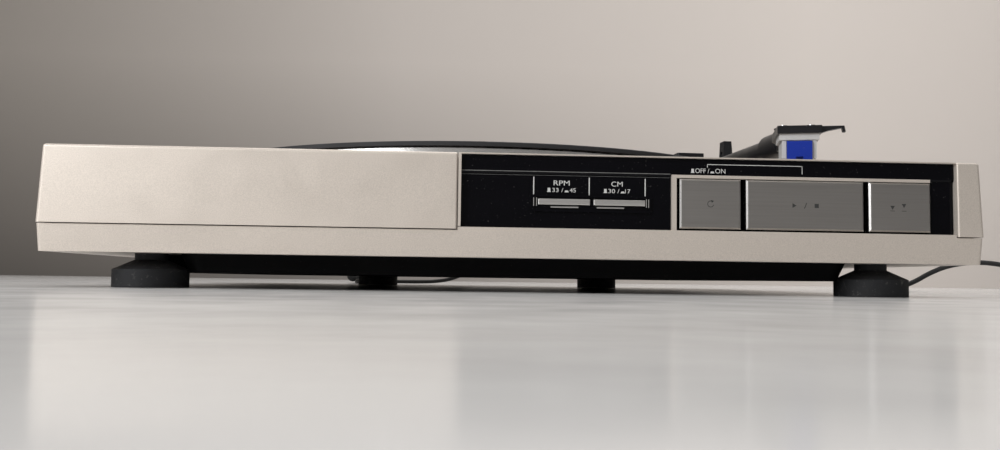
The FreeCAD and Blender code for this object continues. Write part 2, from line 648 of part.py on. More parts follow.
def make_bottom_pan():
    half, front, back = PAN_HALF_WIDTH, PAN_FRONT, PAN_BACK
    d = PAN_DRAFT
    lower = (-half + d, front + d, half - d, back - d)
    upper = (-half, front, half, back)
    pan = drafted_block(lower, PAN_BOTTOM, upper, FRAME_BOTTOM, PAN_CORNER)
    rim = PAN_RIM + 1
    inner_upper = (-half + rim, front + rim, half - rim, back - rim)
    inner_lower = tuple(value + math.copysign(-2.0, value) for value in inner_upper)
    inner = drafted_block(inner_lower, PAN_BOTTOM + PAN_WALL, inner_upper, FRAME_BOTTOM + 0.1, PAN_CORNER)
    wing_front = FRONT_FOOT_Y + FOOT_RADIUS + PAN_WING_GAP
    wing_lower = (-half - PAN_WING + d, wing_front + d, -half + rim, back - d)
    wing_upper = (-half - PAN_WING, wing_front, -half + rim, back)
    wing = drafted_block(wing_lower, PAN_BOTTOM, wing_upper, FRAME_BOTTOM, PAN_CORNER)
    inside = (-half - PAN_WING + rim, wing_front + rim, -half - 1, back - rim)
    wing = wing.cut(drafted_block(inside, PAN_BOTTOM + PAN_WALL, inside, FRAME_BOTTOM + 0.1, 2))
    pan = joined([pan, wing.cut(inner)]).cut(inner)
    cuts = []
    for x, y in CASE_SCREWS:
        cuts.append(disc(x, y, PAN_BOTTOM - 1, FRAME_BOTTOM + 1, CASE_SCREW_RADIUS + 0.2))
        cuts.append(disc(x, y, PAN_BOTTOM - 1, PAN_BOTTOM + PAN_SCREW_POCKET, CASE_SCREW_HEAD_RADIUS + 0.3))
    for index in range(VENT_COUNT):
        y = VENT_START + index * VENT_PITCH
        cuts.append(box(-VENT_LENGTH / 2, y, PAN_BOTTOM - 1, VENT_LENGTH / 2, y + VENT_WIDTH, PAN_BOTTOM + 3))
    return pan.cut(Part.makeCompound(cuts))


def make_foot(x, y):
    block = disc(x, y, 0, FOOT_BLOCK, FOOT_RADIUS)
    block = block.makeFillet(FOOT_EDGE, edges_where(block, lambda b: b.ZMax < FOOT_EDGE))
    shoulder = cone(x, y, FOOT_BLOCK, FOOT_CONE_TOP, FOOT_RADIUS, FOOT_NECK_RADIUS)
    neck = disc(x, y, FOOT_CONE_TOP, FRAME_BOTTOM, FOOT_NECK_RADIUS)
    foot = joined([block, shoulder, neck])
    head = disc(x, y, -1, FOOT_SCREW_RECESS + 1.6, FOOT_SCREW_HEAD_RADIUS + 0.3)
    return foot.cut(head).cut(disc(x, y, 0, FRAME_BOTTOM + 1, FOOT_SCREW_RADIUS + 0.05))


def make_foot_screws():
    screws = []
    for x, y in FOOT_PLACES:
        head = disc(x, y, FOOT_SCREW_RECESS, FOOT_SCREW_RECESS + 1.6, FOOT_SCREW_HEAD_RADIUS)
        slot = box(x - 4, y - 0.4, FOOT_SCREW_RECESS - 1, x + 4, y + 0.4, FOOT_SCREW_RECESS + 0.6)
        shank = disc(x, y, FOOT_SCREW_RECESS, FRAME_BOTTOM + 5, FOOT_SCREW_RADIUS - 0.05)
        screws.append(head.fuse(shank).cut(slot))
    return Part.makeCompound(screws)


def make_case_screws():
    screws = []
    top = PAN_BOTTOM + PAN_SCREW_POCKET
    for x, y in CASE_SCREWS:
        head = disc(x, y, top - CASE_SCREW_HEAD, top, CASE_SCREW_HEAD_RADIUS)
        slot = box(x - 4, y - 0.4, top - 5, x + 4, y + 0.4, top - CASE_SCREW_HEAD + 0.6)
        screws.append(head.fuse(disc(x, y, top - 1, FRAME_BOTTOM + 4, CASE_SCREW_RADIUS)).cut(slot))
    return Part.makeCompound(screws)


def button_frame_shape(grow):
    front = FRONT + BUTTON_FRAME_SETBACK - grow
    left = BUTTON_FRAME_LEFT - grow
    top = PANEL_TOP + BUTTON_FRAME_RAISE + grow
    back = PANEL_FACE
    upright = box(left, front, LEDGE_TOP, BUTTON_FRAME_LEFT + BUTTON_FRAME_BAR + grow, back, top)
    low = top - BUTTON_FRAME_TOP_BAR - 2 * grow
    bar = box(left, front, low, BUTTON_FRAME_END + grow, back, top)
    return joined([upright, bar])


def make_fascia_upper():
    y0 = FRONT + UPPER_STRIP_SETBACK
    y1 = CASE_FRONT
    points = [V(RECESS_LEFT, y0, LIP_UNDERSIDE), V(RECESS_LEFT, y0, STRIP_BOTTOM)]
    points += [V(RECESS_LEFT, PANEL_FACE - 0.5, PANEL_TOP), V(RECESS_LEFT, y1, PANEL_TOP)]
    points.append(V(RECESS_LEFT, y1, LIP_UNDERSIDE))
    strip = extruded_outline(points, V(RECESS_RIGHT - RECESS_LEFT, 0, 0))
    return strip.cut(button_frame_shape(0.05))


def make_fascia_panel():
    panel = box(RECESS_LEFT, PANEL_FACE, LEDGE_TOP, RECESS_RIGHT, CASE_FRONT, PANEL_TOP)
    pocket = box(BUTTON_FRAME_LEFT + BUTTON_FRAME_BAR, PANEL_FACE - 1, LEDGE_TOP + 0.3,
                 BUTTON_FRAME_END + 0.6, PANEL_FACE + BUTTON_POCKET, PANEL_TOP - 0.2)
    x0 = KEY_LEFT - BEZEL_RIM - 0.6
    x1 = KEY_LEFT + 2 * KEY_WIDTH + KEY_GAP + BEZEL_RIM + 0.6
    z0 = KEY_BOTTOM - BEZEL_DROP
    z1 = KEY_BOTTOM + KEY_HEIGHT + BEZEL_RIM
    bezel = box(x0, PANEL_FACE - BEZEL_DEPTH, z0, x1, PANEL_FACE + 1, z1)
    bezel = bezel.cut(box(x0 + 0.8, PANEL_FACE - 5, z0 + 0.8, x1 - 0.8, PANEL_FACE, z1 - 0.8))
    panel = joined([panel.cut(pocket), bezel])
    return panel.cut(Part.makeCompound(stems(STEM_MARGIN, PANEL_FACE - 5, CASE_FRONT + 1)))


def make_button(left, width):
    cap = box(left, BUTTON_FACE, BUTTON_BOTTOM, left + width, BUTTON_FACE + BUTTON_DEPTH, BUTTON_TOP)
    front = edges_where(cap, lambda b: b.YMax < BUTTON_FACE + 0.01)
    cap = cap.makeChamfer(BUTTON_BEVEL, front)
    middle = left + width / 2
    low = BUTTON_MIDDLE - STEM_HEIGHT / 2
    stem = box(middle - STEM_WIDTH / 2, BUTTON_FACE + BUTTON_DEPTH - 0.5, low,
               middle + STEM_WIDTH / 2, SWITCH_BACK - BUTTON_TRAVEL - 1, low + STEM_HEIGHT)
    return joined([cap, stem])


def make_key(left):
    face = FRONT + KEY_SETBACK
    key = box(left, face, KEY_BOTTOM, left + KEY_WIDTH, SWITCH_BACK - KEY_TRAVEL - 1, KEY_BOTTOM + KEY_HEIGHT)
    return key.makeFillet(0.35, edges_where(key, lambda b: b.YMax < face + 0.01))


def make_switch_block():
    x0 = KEY_LEFT - SWITCH_MARGIN
    x1 = BUTTON_FRAME_END + SWITCH_MARGIN
    block = box(x0, SWITCH_FRONT, BUTTON_BOTTOM + SWITCH_MARGIN, x1, SWITCH_BACK, BUTTON_TOP - SWITCH_MARGIN)
    return block.cut(Part.makeCompound(stems(STEM_MARGIN, SWITCH_FRONT - 1, SWITCH_BACK + 1)))


def make_hinge_sockets():
    sockets = []
    for side in (-1, 1):
        block = socket_box(side, 0.0, DECK_TOP)
        y1 = case_rectangle(DECK_TOP, 0.0)[3] - SOCKET_BACK_WALL
        slot = box(side * SOCKET_X - SLOT_WIDTH / 2, y1 - SLOT_THICKNESS, DECK_TOP - SLOT_DEPTH,
                   side * SOCKET_X + SLOT_WIDTH / 2, y1, DECK_TOP + 1)
        sockets.append(block.cut(slot))
    return Part.makeCompound(sockets)


def make_platter():
    plate_low = MAT_TOP - MAT_THICKNESS - PLATTER_PLATE
    top = MAT_TOP - MAT_THICKNESS
    x, y = SPINDLE_X, SPINDLE_Y
    body = disc(x, y, PLATTER_BOTTOM, top, PLATTER_RADIUS)
    body = body.makeFillet(PLATTER_EDGE, edges_where(body, lambda b: b.ZLength < 0.01))
    body = body.cut(disc(x, y, PLATTER_BOTTOM - 1, plate_low, PLATTER_RADIUS - PLATTER_RIM))
    belt_rim = ring(x, y, BELT_RIM_BOTTOM, plate_low + 0.5, BELT_RIM_RADIUS, BELT_RIM_RADIUS - BELT_RIM_WALL)
    hub = disc(x, y, BELT_RIM_BOTTOM, plate_low + 0.5, HUB_RADIUS)
    body = joined([body, belt_rim, hub])
    return body.cut(disc(x, y, 0, TALL, SPINDLE_SHAFT_RADIUS + RUNNING_CLEARANCE))


def make_mat():
    x, y = SPINDLE_X, SPINDLE_Y
    mat = disc(x, y, MAT_TOP - MAT_THICKNESS, MAT_TOP, MAT_RADIUS)
    mat = mat.makeFillet(0.4, edges_where(mat, lambda b: b.ZMin > MAT_TOP - 0.01))
    cuts = [disc(x, y, 0, TALL, SPINDLE_SHAFT_RADIUS + 0.3),
            disc(x, y, MAT_TOP - LABEL_SINK, TALL, LABEL_RADIUS)]
    radius = LABEL_RADIUS + GROOVE_PITCH / 2
    while radius < MAT_RADIUS - GROOVE_PITCH / 2:
        cuts.append(ring(x, y, MAT_TOP - GROOVE_DEPTH, TALL, radius + GROOVE_WIDTH, radius))
        radius += GROOVE_PITCH
    return mat.cut(Part.makeCompound(cuts))


def make_spindle():
    x, y = SPINDLE_X, SPINDLE_Y
    shoulder = MAT_TOP - LABEL_SINK
    shaft = disc(x, y, SPINDLE_BOTTOM, shoulder, SPINDLE_SHAFT_RADIUS)
    pin = disc(x, y, shoulder - 1, SPINDLE_TOP - SPINDLE_TIP, SPINDLE_RADIUS)
    tip = cone(x, y, SPINDLE_TOP - SPINDLE_TIP, SPINDLE_TOP, SPINDLE_RADIUS, SPINDLE_RADIUS / 2)
    return joined([shaft, pin, tip])


def gear_outline(teeth, z, half_share, phase):
    pitch = GEAR_MODULE * teeth / 2
    outer = pitch + GEAR_MODULE
    root = pitch - 1.25 * GEAR_MODULE
    step = 2 * math.pi / teeth
    trim = GEAR_CLEARANCE / pitch
    points = []
    for index in range(teeth):
        middle = phase + index * step
        for radius, half in ((root, 0.36), (pitch, half_share), (outer, 0.13)):
            angle = middle - half * step + trim / 2
            points.append(V(radius * math.cos(angle), radius * math.sin(angle), z))
        for radius, half in ((outer, 0.13), (pitch, half_share), (root, 0.36)):
            angle = middle + half * step - trim / 2
            points.append(V(radius * math.cos(angle), radius * math.sin(angle), z))
    return points


def make_platter_gear():
    x, y = SPINDLE_X, SPINDLE_Y
    phase = math.radians(CAM_ANGLE) + math.pi / PINION_TEETH
    gear = extruded_outline(gear_outline(PINION_TEETH, GEAR_BOTTOM, 0.235, phase),
                            V(0, 0, GEAR_THICKNESS + 0.5))
    gear = moved(gear, x, y, 0)
    flange = disc(x, y, GEAR_BOTTOM + GEAR_THICKNESS + 0.5, BELT_RIM_BOTTOM, HUB_RADIUS)
    gear = joined([gear, flange])
    return gear.cut(disc(x, y, 0, TALL, SPINDLE_SHAFT_RADIUS + 0.02))


def make_cam_gear():
    phase = math.radians(CAM_ANGLE) + math.pi
    top = GEAR_BOTTOM + GEAR_THICKNESS
    gear = extruded_outline(gear_outline(CAM_TEETH, GEAR_BOTTOM, 0.235, phase), V(0, 0, GEAR_THICKNESS))
    half_gap = CAM_GAP_TEETH * math.pi / CAM_TEETH
    root = GEAR_MODULE * (CAM_TEETH / 2 - 1.25)
    far = CAM_OUTER_RADIUS * 1.2
    corners = [V(0, 0, GEAR_BOTTOM - 1)]
    for angle in (phase - half_gap, phase, phase + half_gap):
        corners.append(V(far * math.cos(angle), far * math.sin(angle), GEAR_BOTTOM - 1))
    wedge = extruded_outline(corners, V(0, 0, GEAR_THICKNESS + 2))
    gear = gear.cut(wedge.cut(disc(0, 0, 0, TALL, root - 0.6)))
    track = ring(0, 0, GEAR_BOTTOM - 1, GEAR_BOTTOM + CAM_TRACK_DEPTH, CAM_TRACK_OUTER, CAM_ISLAND_RADIUS)
    gear = gear.cut(track)
    windows = []
    for index in range(4):
        window = disc(31.0, 0, GEAR_BOTTOM - 1, top + 1, 7.0)
        windows.append(turned(window, 45 + index * 90))
    gear = gear.cut(Part.makeCompound(windows))
    return moved(gear.cut(disc(0, 0, 0, TALL, CAM_POST_RADIUS + RUNNING_CLEARANCE)), CAM_X, CAM_Y, 0)


def make_bearing_housing():
    x, y = SPINDLE_X, SPINDLE_Y
    body = disc(x, y, HOUSING_BOTTOM, HOUSING_TOP, HOUSING_RADIUS)
    flange_top = CHASSIS_BOTTOM
    flange = disc(x, y, flange_top - FLANGE_THICKNESS, flange_top, FLANGE_RADIUS)
    return joined([body, flange]).cut(disc(x, y, SPINDLE_BOTTOM - 0.05, TALL,
                                           SPINDLE_SHAFT_RADIUS + RUNNING_CLEARANCE))


def make_sub_chassis():
    m = SUB_CHASSIS_MARGIN
    top = DRIVE_WELL_FLOOR - WELL_WALL
    plate = rounded_block(SPINDLE_X - FLANGE_RADIUS - m, SPINDLE_Y - FLANGE_RADIUS - m, CAM_X + m + 6,
                          CAM_Y + m - 4, CHASSIS_BOTTOM, top, 6.0)
    post = disc(CAM_X, CAM_Y, CHASSIS_BOTTOM, GEAR_BOTTOM + GEAR_THICKNESS + 0.6, CAM_POST_RADIUS)
    shoulder = disc(CAM_X, CAM_Y, CHASSIS_BOTTOM, GEAR_BOTTOM - 0.3, CAM_POST_RADIUS + PIECE_CLEARANCE - 0.1)
    plate = plate.cut(disc(SPINDLE_X, SPINDLE_Y, 0, TALL, HOUSING_RADIUS + 0.05))
    return joined([plate, post, shoulder])


def motor_mount_points():
    places = []
    for index in range(3):
        angle = math.radians(90 + 120 * index)
        places.append((MOTOR_X + GROMMET_RING * math.cos(angle), MOTOR_Y + GROMMET_RING * math.sin(angle)))
    return places


def make_motor():
    body = disc(MOTOR_X, MOTOR_Y, MOTOR_BODY_BOTTOM, MOTOR_PLATE_BOTTOM, MOTOR_RADIUS)
    body = body.makeFillet(1.5, edges_where(body, lambda b: b.ZMax < MOTOR_BODY_BOTTOM + 0.01))
    boss = disc(MOTOR_X, MOTOR_Y, MOTOR_PLATE_BOTTOM, MOTOR_PLATE_BOTTOM + MOTOR_PLATE_THICKNESS + 1, 4.0)
    return joined([body, boss]).cut(disc(MOTOR_X, MOTOR_Y, 20, TALL, SHAFT_RADIUS + RUNNING_CLEARANCE))


def make_motor_plate():
    half = MOTOR_PLATE_SIDE / 2
    plate = rounded_block(MOTOR_X - half, MOTOR_Y - half + 5, MOTOR_X + half, MOTOR_Y + half + 3,
                          MOTOR_PLATE_BOTTOM, MOTOR_PLATE_BOTTOM + MOTOR_PLATE_THICKNESS, 5.0)
    return plate.cut(disc(MOTOR_X, MOTOR_Y, 0, TALL, 4.05))


def make_grommets():
    low = MOTOR_PLATE_BOTTOM + MOTOR_PLATE_THICKNESS
    return Part.makeCompound([disc(x, y, low, low + GROMMET_HEIGHT, GROMMET_RADIUS) for x,
                              y in motor_mount_points()])


def belt_solid(rim, pulley, z0, z1):
    lean = math.acos((rim - pulley) / MOTOR_DISTANCE)
    a = V(rim * math.cos(lean), rim * math.sin(lean), z0)
    b = V(MOTOR_DISTANCE + pulley * math.cos(lean), pulley * math.sin(lean), z0)
    edges = [Part.LineSegment(V(a.x, -a.y, z0), V(b.x, -b.y, z0)).toShape()]
    edges.append(Part.Arc(V(b.x, -b.y, z0), V(MOTOR_DISTANCE + pulley, 0, z0), b).toShape())
    edges.append(Part.LineSegment(b, a).toShape())
    edges.append(Part.Arc(a, V(-rim, 0, z0), V(a.x, -a.y, z0)).toShape())
    return Part.Face(Part.Wire(edges)).extrude(V(0, 0, z1 - z0))


def make_belt():
    inner = BELT_CLEARANCE
    outer = BELT_CLEARANCE + BELT_THICKNESS
    z0 = BELT_LOW
    z1 = BELT_LOW + BELT_WIDTH
    band = belt_solid(BELT_RIM_RADIUS + outer, PULLEY_RADIUS + outer, z0, z1)
    band = band.cut(belt_solid(BELT_RIM_RADIUS + inner, PULLEY_RADIUS + inner, z0 - 1, z1 + 1))
    return moved(turned(band, MOTOR_ANGLE), SPINDLE_X, SPINDLE_Y, 0)


def make_pulley():
    x, y = MOTOR_X, MOTOR_Y
    low = BELT_LOW - 0.5
    top = BELT_LOW + BELT_WIDTH
    parts = [disc(x, y, low, top, PULLEY_RADIUS)]
    parts.append(disc(x, y, low - PULLEY_FLANGE, low, PULLEY_FLANGE_RADIUS))
    parts.append(disc(x, y, low - 4, low, 3.5))
    parts.append(disc(x, y, 21, low, SHAFT_RADIUS))
    return joined(parts)


# The arm is built along -Y from its pivot, with its axis at height 0, then turned and lifted into place.
# The headshell is built along -Y from the bend at the arm's front end.

def on_arm(shape):
    return moved(turned(shape, REST_ANGLE), PIVOT_X, PIVOT_Y, ARM_AXIS)


def on_shell(shape):
    return on_arm(moved(turned(shape, -OFFSET_ANGLE), 0, -BEND_REACH, 0))


def along(y0, y1, radius):
    return Part.makeCylinder(radius, abs(y1 - y0), V(0, min(y0, y1), 0), V(0, 1, 0))


def across(x0, x1, y, z, radius):
    return Part.makeCylinder(radius, x1 - x0, V(x0, y, z), V(1, 0, 0))


def make_arm_tube():
    boss = box(-BOSS_HALF, -BOSS_HALF, -BOSS_HALF, BOSS_HALF, BOSS_HALF, BOSS_HALF)
    boss = boss.makeFillet(1.5, edges_where(boss, lambda b: b.XLength > 1 and b.YLength < 0.1))
    tube = along(0, -TUBE_END, TUBE_RADIUS)
    shaft = along(0, REAR_SHAFT_END, REAR_SHAFT_RADIUS)
    arm = joined([boss, tube, shaft])
    arm = arm.cut(along(-BOSS_HALF - 2, -TUBE_END - 1, TUBE_RADIUS - TUBE_WALL))
    bore = across(PIN_TIP - 0.3, BOSS_HALF + 1, 0, 0, PIVOT_PIN_RADIUS + RUNNING_CLEARANCE)
    other = across(-BOSS_HALF - 1, -PIN_TIP + 0.3, 0, 0, PIVOT_PIN_RADIUS + RUNNING_CLEARANCE)
    return on_arm(arm.cut(bore).cut(other))


def make_locking_ring():
    ring_low = TUBE_END - RING_OVERLAP
    body = along(-ring_low, -ring_low - RING_LENGTH, RING_RADIUS)
    body = body.makeChamfer(0.6, [edge for edge in body.Edges if edge.Length > 2 * RING_RADIUS + 1])
    knob_y = -ring_low - RING_KNOB_SHARE * RING_LENGTH
    top = RING_RADIUS + RING_KNOB_RISE
    stem = disc(0, knob_y, RING_RADIUS - 1, top, RING_KNOB_RADIUS - RING_KNOB_CAP)
    body = joined([body, stem, disc(0, knob_y, top - RING_KNOB_CAP, top, RING_KNOB_RADIUS)])
    body = body.cut(along(-ring_low + 1, -TUBE_END, TUBE_RADIUS + 0.02))
    return on_arm(body.cut(along(-TUBE_END, -ring_low - RING_LENGTH - 1, PLUG_RADIUS + 0.02)))


def make_headshell():
    front = -SHELL_LENGTH
    half_front = SHELL_WIDTH / 2
    half_rear = NECK_WIDTH / 2
    low, high = PLATE_TOP - PLATE_THICKNESS, PLATE_TOP
    points = [V(-half_rear, 0, low), V(half_rear, 0, low), V(half_front, -NECK_LENGTH, low),
              V(half_front, front, low)]
    points += [V(-half_front, front, low), V(-half_front, -NECK_LENGTH, low)]
    plate = extruded_outline(points, V(0, 0, high - low))
    slots = [box(x - SLOT_HALF, SCREW_Y - 4, low - 1, x + SLOT_HALF, SCREW_Y + 8,
                 high + 1) for x in (-SCREW_X, SCREW_X)]
    plate = plate.cut(Part.makeCompound([slot.cut(box(-20, SCREW_Y + 4, -20, 20, SCREW_Y + 9,
                                                      20)) for slot in slots]))
    profile = [V(-half_rear, NECK_BACK, -NECK_DROP), V(-half_rear, NECK_BACK, NECK_RISE)]
    profile += [V(-half_rear, -3, NECK_RISE), V(-half_rear, -NECK_LENGTH, high),
                V(-half_rear, -NECK_LENGTH, low)]
    profile += [V(-half_rear, -4, low), V(-half_rear, -1, -NECK_DROP)]
    neck = extruded_outline(profile, V(NECK_WIDTH, 0, 0))
    plug_line = turned(along(NECK_REAR_REACH, -2, PLUG_RADIUS), OFFSET_ANGLE)
    lift_profile = [V(half_front - 2, front + 3, low + 0.6), V(half_front, front + 3, low + 0.3)]
    lift_profile += [V(half_front + 3, front + 3, high - 2.2),
                     V(half_front + LIFT_REACH - 1, front + 3, high - 1.0)]
    lift_profile += [V(half_front + LIFT_REACH - 0.6, front + 3, high - 2.9)]
    lift_profile += [V(half_front + LIFT_REACH + 0.6, front + 3, high - 2.9),
                     V(half_front + LIFT_REACH, front + 3, high)]
    lift_profile += [V(half_front - 2, front + 3, high)]
    finger = extruded_outline(lift_profile, V(0, FINGER_WIDTH, 0))
    return on_shell(joined([plate, neck, plug_line, finger]))


def make_headshell_screws():
    screws = []
    for x in (-SCREW_X, SCREW_X):
        head = disc(x, SCREW_Y, PLATE_TOP, PLATE_TOP + 1.5, 1.9)
        slot = box(x - 3, SCREW_Y - 0.3, PLATE_TOP + 0.9, x + 3, SCREW_Y + 0.3, PLATE_TOP + 3)
        shank = disc(x, SCREW_Y, CARTRIDGE_TOP - 2, PLATE_TOP + 0.5, 1.2)
        screws.append(head.fuse(shank).cut(slot))
    return on_shell(Part.makeCompound(screws))


def make_cartridge():
    half = CARTRIDGE_WIDTH / 2
    front, back = -SHELL_LENGTH + 1.5, -SHELL_LENGTH + 1.5 + CARTRIDGE_LENGTH
    flange = box(-half, front, CARTRIDGE_TOP - 3.0, half, back, CARTRIDGE_TOP)
    body = box(-half + 1.2, front + 0.8, CARTRIDGE_BOTTOM, half - 1.2, back - 1.0, CARTRIDGE_TOP - 2.5)
    cartridge = joined([flange, body])
    socket = box(-STYLUS_WIDTH / 2 - 0.1, front - 1, CARTRIDGE_BOTTOM - 1, STYLUS_WIDTH / 2 + 0.1,
                 front + STYLUS_DEPTH + 0.1, STYLUS_TOP + 0.1)
    holes = [disc(x, SCREW_Y, CARTRIDGE_TOP - 2.1, CARTRIDGE_TOP + 1, 1.22) for x in (-SCREW_X, SCREW_X)]
    pins = [along(back - 1.5, back + 2.5, 0.6).translated(V(x, 0, z)) for x in (-4, 4) for z in (-6.5, -10.0)]
    return on_shell(joined([cartridge.cut(socket).cut(Part.makeCompound(holes))] + pins))


def make_stylus():
    front = -SHELL_LENGTH + 0.7
    half = STYLUS_WIDTH / 2
    body = box(-half, front, STYLUS_BOTTOM, half, front + 0.7 + STYLUS_DEPTH, STYLUS_TOP)
    body = body.makeFillet(1.0, edges_where(body, lambda b: b.YMax < front + 0.01 and b.XLength > 1))
    body = body.cut(box(-1.6, front - 1, STYLUS_BOTTOM - 1, 1.6, front + 4, STYLUS_BOTTOM + 2.0))
    cantilever = box(-0.35, front + 1.0, STYLUS_BOTTOM - 0.6, 0.35, front + 5, STYLUS_BOTTOM + 0.4)
    tip = cone(0, front + 1.4, STYLUS_TIP, STYLUS_BOTTOM - 0.3, 0.1, 0.35)
    return on_shell(joined([body, cantilever, tip]))


def make_gimbal():
    half, depth = GIMBAL_WIDTH / 2, GIMBAL_DEPTH / 2
    low, high = GIMBAL_BOTTOM - ARM_AXIS, GIMBAL_TOP - ARM_AXIS
    frame = box(-half, -depth, low, half, depth, high)
    frame = frame.makeFillet(1.2, edges_where(frame, lambda b: b.ZLength > 1))
    inner = half - GIMBAL_WALL
    frame = frame.cut(box(-inner, -depth - 1, low + 5, inner, depth + 1, high - 3.5))
    shaft = disc(0, 0, TRIP_BOTTOM - ARM_AXIS, low + 1, SWING_SHAFT_RADIUS)
    pins = [across(PIN_TIP, inner + 1, 0, 0, PIVOT_PIN_RADIUS),
            across(-inner - 1, -PIN_TIP, 0, 0, PIVOT_PIN_RADIUS)]
    trip_low = TRIP_BOTTOM - ARM_AXIS
    sector = disc(0, 0, trip_low, trip_low + TRIP_THICKNESS, TRIP_RADIUS)
    sector = sector.common(extruded_outline([V(0, 6, trip_low), V(-60, -22, trip_low), V(-30, -60, trip_low)],
                                            V(0, 0, TRIP_THICKNESS)))
    hub = disc(0, 0, trip_low, trip_low + TRIP_THICKNESS, 7.5)
    return on_arm(joined([frame, shaft, sector, hub] + pins))


def make_arm_base():
    x, y = PIVOT_X, PIVOT_Y
    plate = disc(x, y, DECK_TOP, BASE_TOP, BASE_RADIUS)
    plate = plate.makeFillet(1.5, edges_where(plate, lambda b: b.ZMin > BASE_TOP - 0.01))
    sleeve = disc(x, y, TRIP_BOTTOM + TRIP_THICKNESS + 0.4, DECK_TOP + 1, ARM_HOLE_RADIUS - 0.2)
    return joined([plate, sleeve]).cut(disc(x, y, 0, TALL, SWING_SHAFT_RADIUS + RUNNING_CLEARANCE))


def make_arm_rest():
    x0, x1 = REST_POST_X - REST_POST_WIDTH / 2, REST_POST_X + REST_POST_WIDTH / 2
    y0, y1 = -REST_REACH - REST_POST_DEPTH / 2, -REST_REACH + REST_POST_DEPTH / 2
    deck = DECK_TOP - ARM_AXIS
    shelf_top = -TUBE_RADIUS - PIECE_CLEARANCE
    post = box(x0, y0, deck, x1, y1, REST_SHOULDER)
    shelf = box(-TUBE_RADIUS - 1.5, y0 + 1, shelf_top - 3.0, x1, y1 - 1, shelf_top)
    foot = box(x0 - 3, y0 - 3, deck, x1 + 3, y1 + 3, deck + 1.6)
    foot = foot.makeFillet(0.8, edges_where(foot, lambda b: b.ZMin > deck + 1.5))
    ear = box(x0, -REST_REACH - 1.5, REST_SHOULDER - 1, x1, -REST_REACH + 1.5, CLAMP_AXIS)
    crown = Part.makeCylinder(REST_POST_WIDTH / 2, 3, V(REST_POST_X, -REST_REACH - 1.5, CLAMP_AXIS),
                              V(0, 1, 0))
    rest = joined([post, shelf, foot, ear, crown])
    bore = Part.makeCylinder(CLAMP_PIN + RUNNING_CLEARANCE, 20, V(REST_POST_X, -REST_REACH - 10, CLAMP_AXIS),
                             V(0, 1, 0))
    return on_arm(rest.cut(bore))


def make_rest_clamp():
    y0, y1 = -REST_REACH - CLAMP_DEPTH / 2, -REST_REACH + CLAMP_DEPTH / 2
    base, top = CLAMP_BASE / 2, CLAMP_TIP / 2
    points = [V(REST_POST_X - base, y0, CLAMP_AXIS), V(REST_POST_X + base, y0, CLAMP_AXIS)]
    points += [V(REST_POST_X + top, y0, CLAMP_TOP), V(REST_POST_X - top - 0.3, y0, CLAMP_TOP)]
    finger = extruded_outline(points, V(0, y1 - y0, 0))
    hub = Part.makeCylinder(base, y1 - y0, V(REST_POST_X, y0, CLAMP_AXIS), V(0, 1, 0))
    clamp = joined([finger, hub])
    ear_room = REST_POST_WIDTH / 2 + 0.3
    slot = box(REST_POST_X - 10, -REST_REACH - 1.8, CLAMP_AXIS - 6, REST_POST_X + 10, -REST_REACH + 1.8,
               CLAMP_AXIS + ear_room)
    pin = Part.makeCylinder(CLAMP_PIN, y1 - y0, V(REST_POST_X, y0, CLAMP_AXIS), V(0, 1, 0))
    return on_arm(joined([clamp.cut(slot), pin]))


def make_weight_sleeve():
    y0 = WEIGHT_START - 1
    sleeve = along(y0, y0 + WEIGHT_LENGTH + 2, WEIGHT_BORE)
    return on_arm(sleeve.cut(along(0, TALL, REAR_SHAFT_RADIUS + RUNNING_CLEARANCE)))


def make_counterweight():
    body = along(WEIGHT_START, WEIGHT_START + WEIGHT_LENGTH, WEIGHT_RADIUS)
    body = body.makeFillet(0.8, [edge for edge in body.Edges if edge.Length > 3 * WEIGHT_RADIUS])
    neck = ring_along(WEIGHT_START + DIAL_RING, WEIGHT_START + DIAL_RING + 0.8, WEIGHT_RADIUS + 1,
                      WEIGHT_RADIUS - 0.7)
    return on_arm(body.cut(neck).cut(along(0, TALL, WEIGHT_BORE + RUNNING_CLEARANCE)))


def ring_along(y0, y1, outer, inner):
    return along(y0, y1, outer).cut(along(y0 - 1, y1 + 1, inner))


def make_lift_sleeve():
    tube = disc(LIFT_X, LIFT_Y, DECK_UNDERSIDE - 2, LIFT_SLEEVE_TOP, LIFT_SLEEVE_RADIUS)
    flange = disc(LIFT_X, LIFT_Y, DECK_TOP, DECK_TOP + 1.2, LIFT_SLEEVE_RADIUS + 2)
    return joined([tube, flange]).cut(disc(LIFT_X, LIFT_Y, 0, TALL, LIFT_ROD_RADIUS + RUNNING_CLEARANCE))


def make_lift_platform():
    top = ARM_AXIS - TUBE_RADIUS - PIECE_CLEARANCE
    low = top - LIFT_BAR_HEIGHT
    bar = ring(0, 0, low, top, LIFT_ARC + LIFT_BAR_WIDTH / 2, LIFT_ARC - LIFT_BAR_WIDTH / 2)
    reach = 3 * LIFT_ARC
    corners = [V(0, 0, low)]
    for angle in (LIFT_OUTER, (LIFT_OUTER - LIFT_INNER) / 2, -LIFT_INNER):
        turn = math.radians(angle)
        corners.append(V(reach * math.sin(turn), -reach * math.cos(turn), low))
    bar = moved(bar.common(extruded_outline(corners, V(0, 0, top - low))), PIVOT_X, PIVOT_Y, 0)
    rod = disc(LIFT_X, LIFT_Y, DECK_UNDERSIDE - 6, low + 0.5, LIFT_ROD_RADIUS)
    return joined([bar, rod])


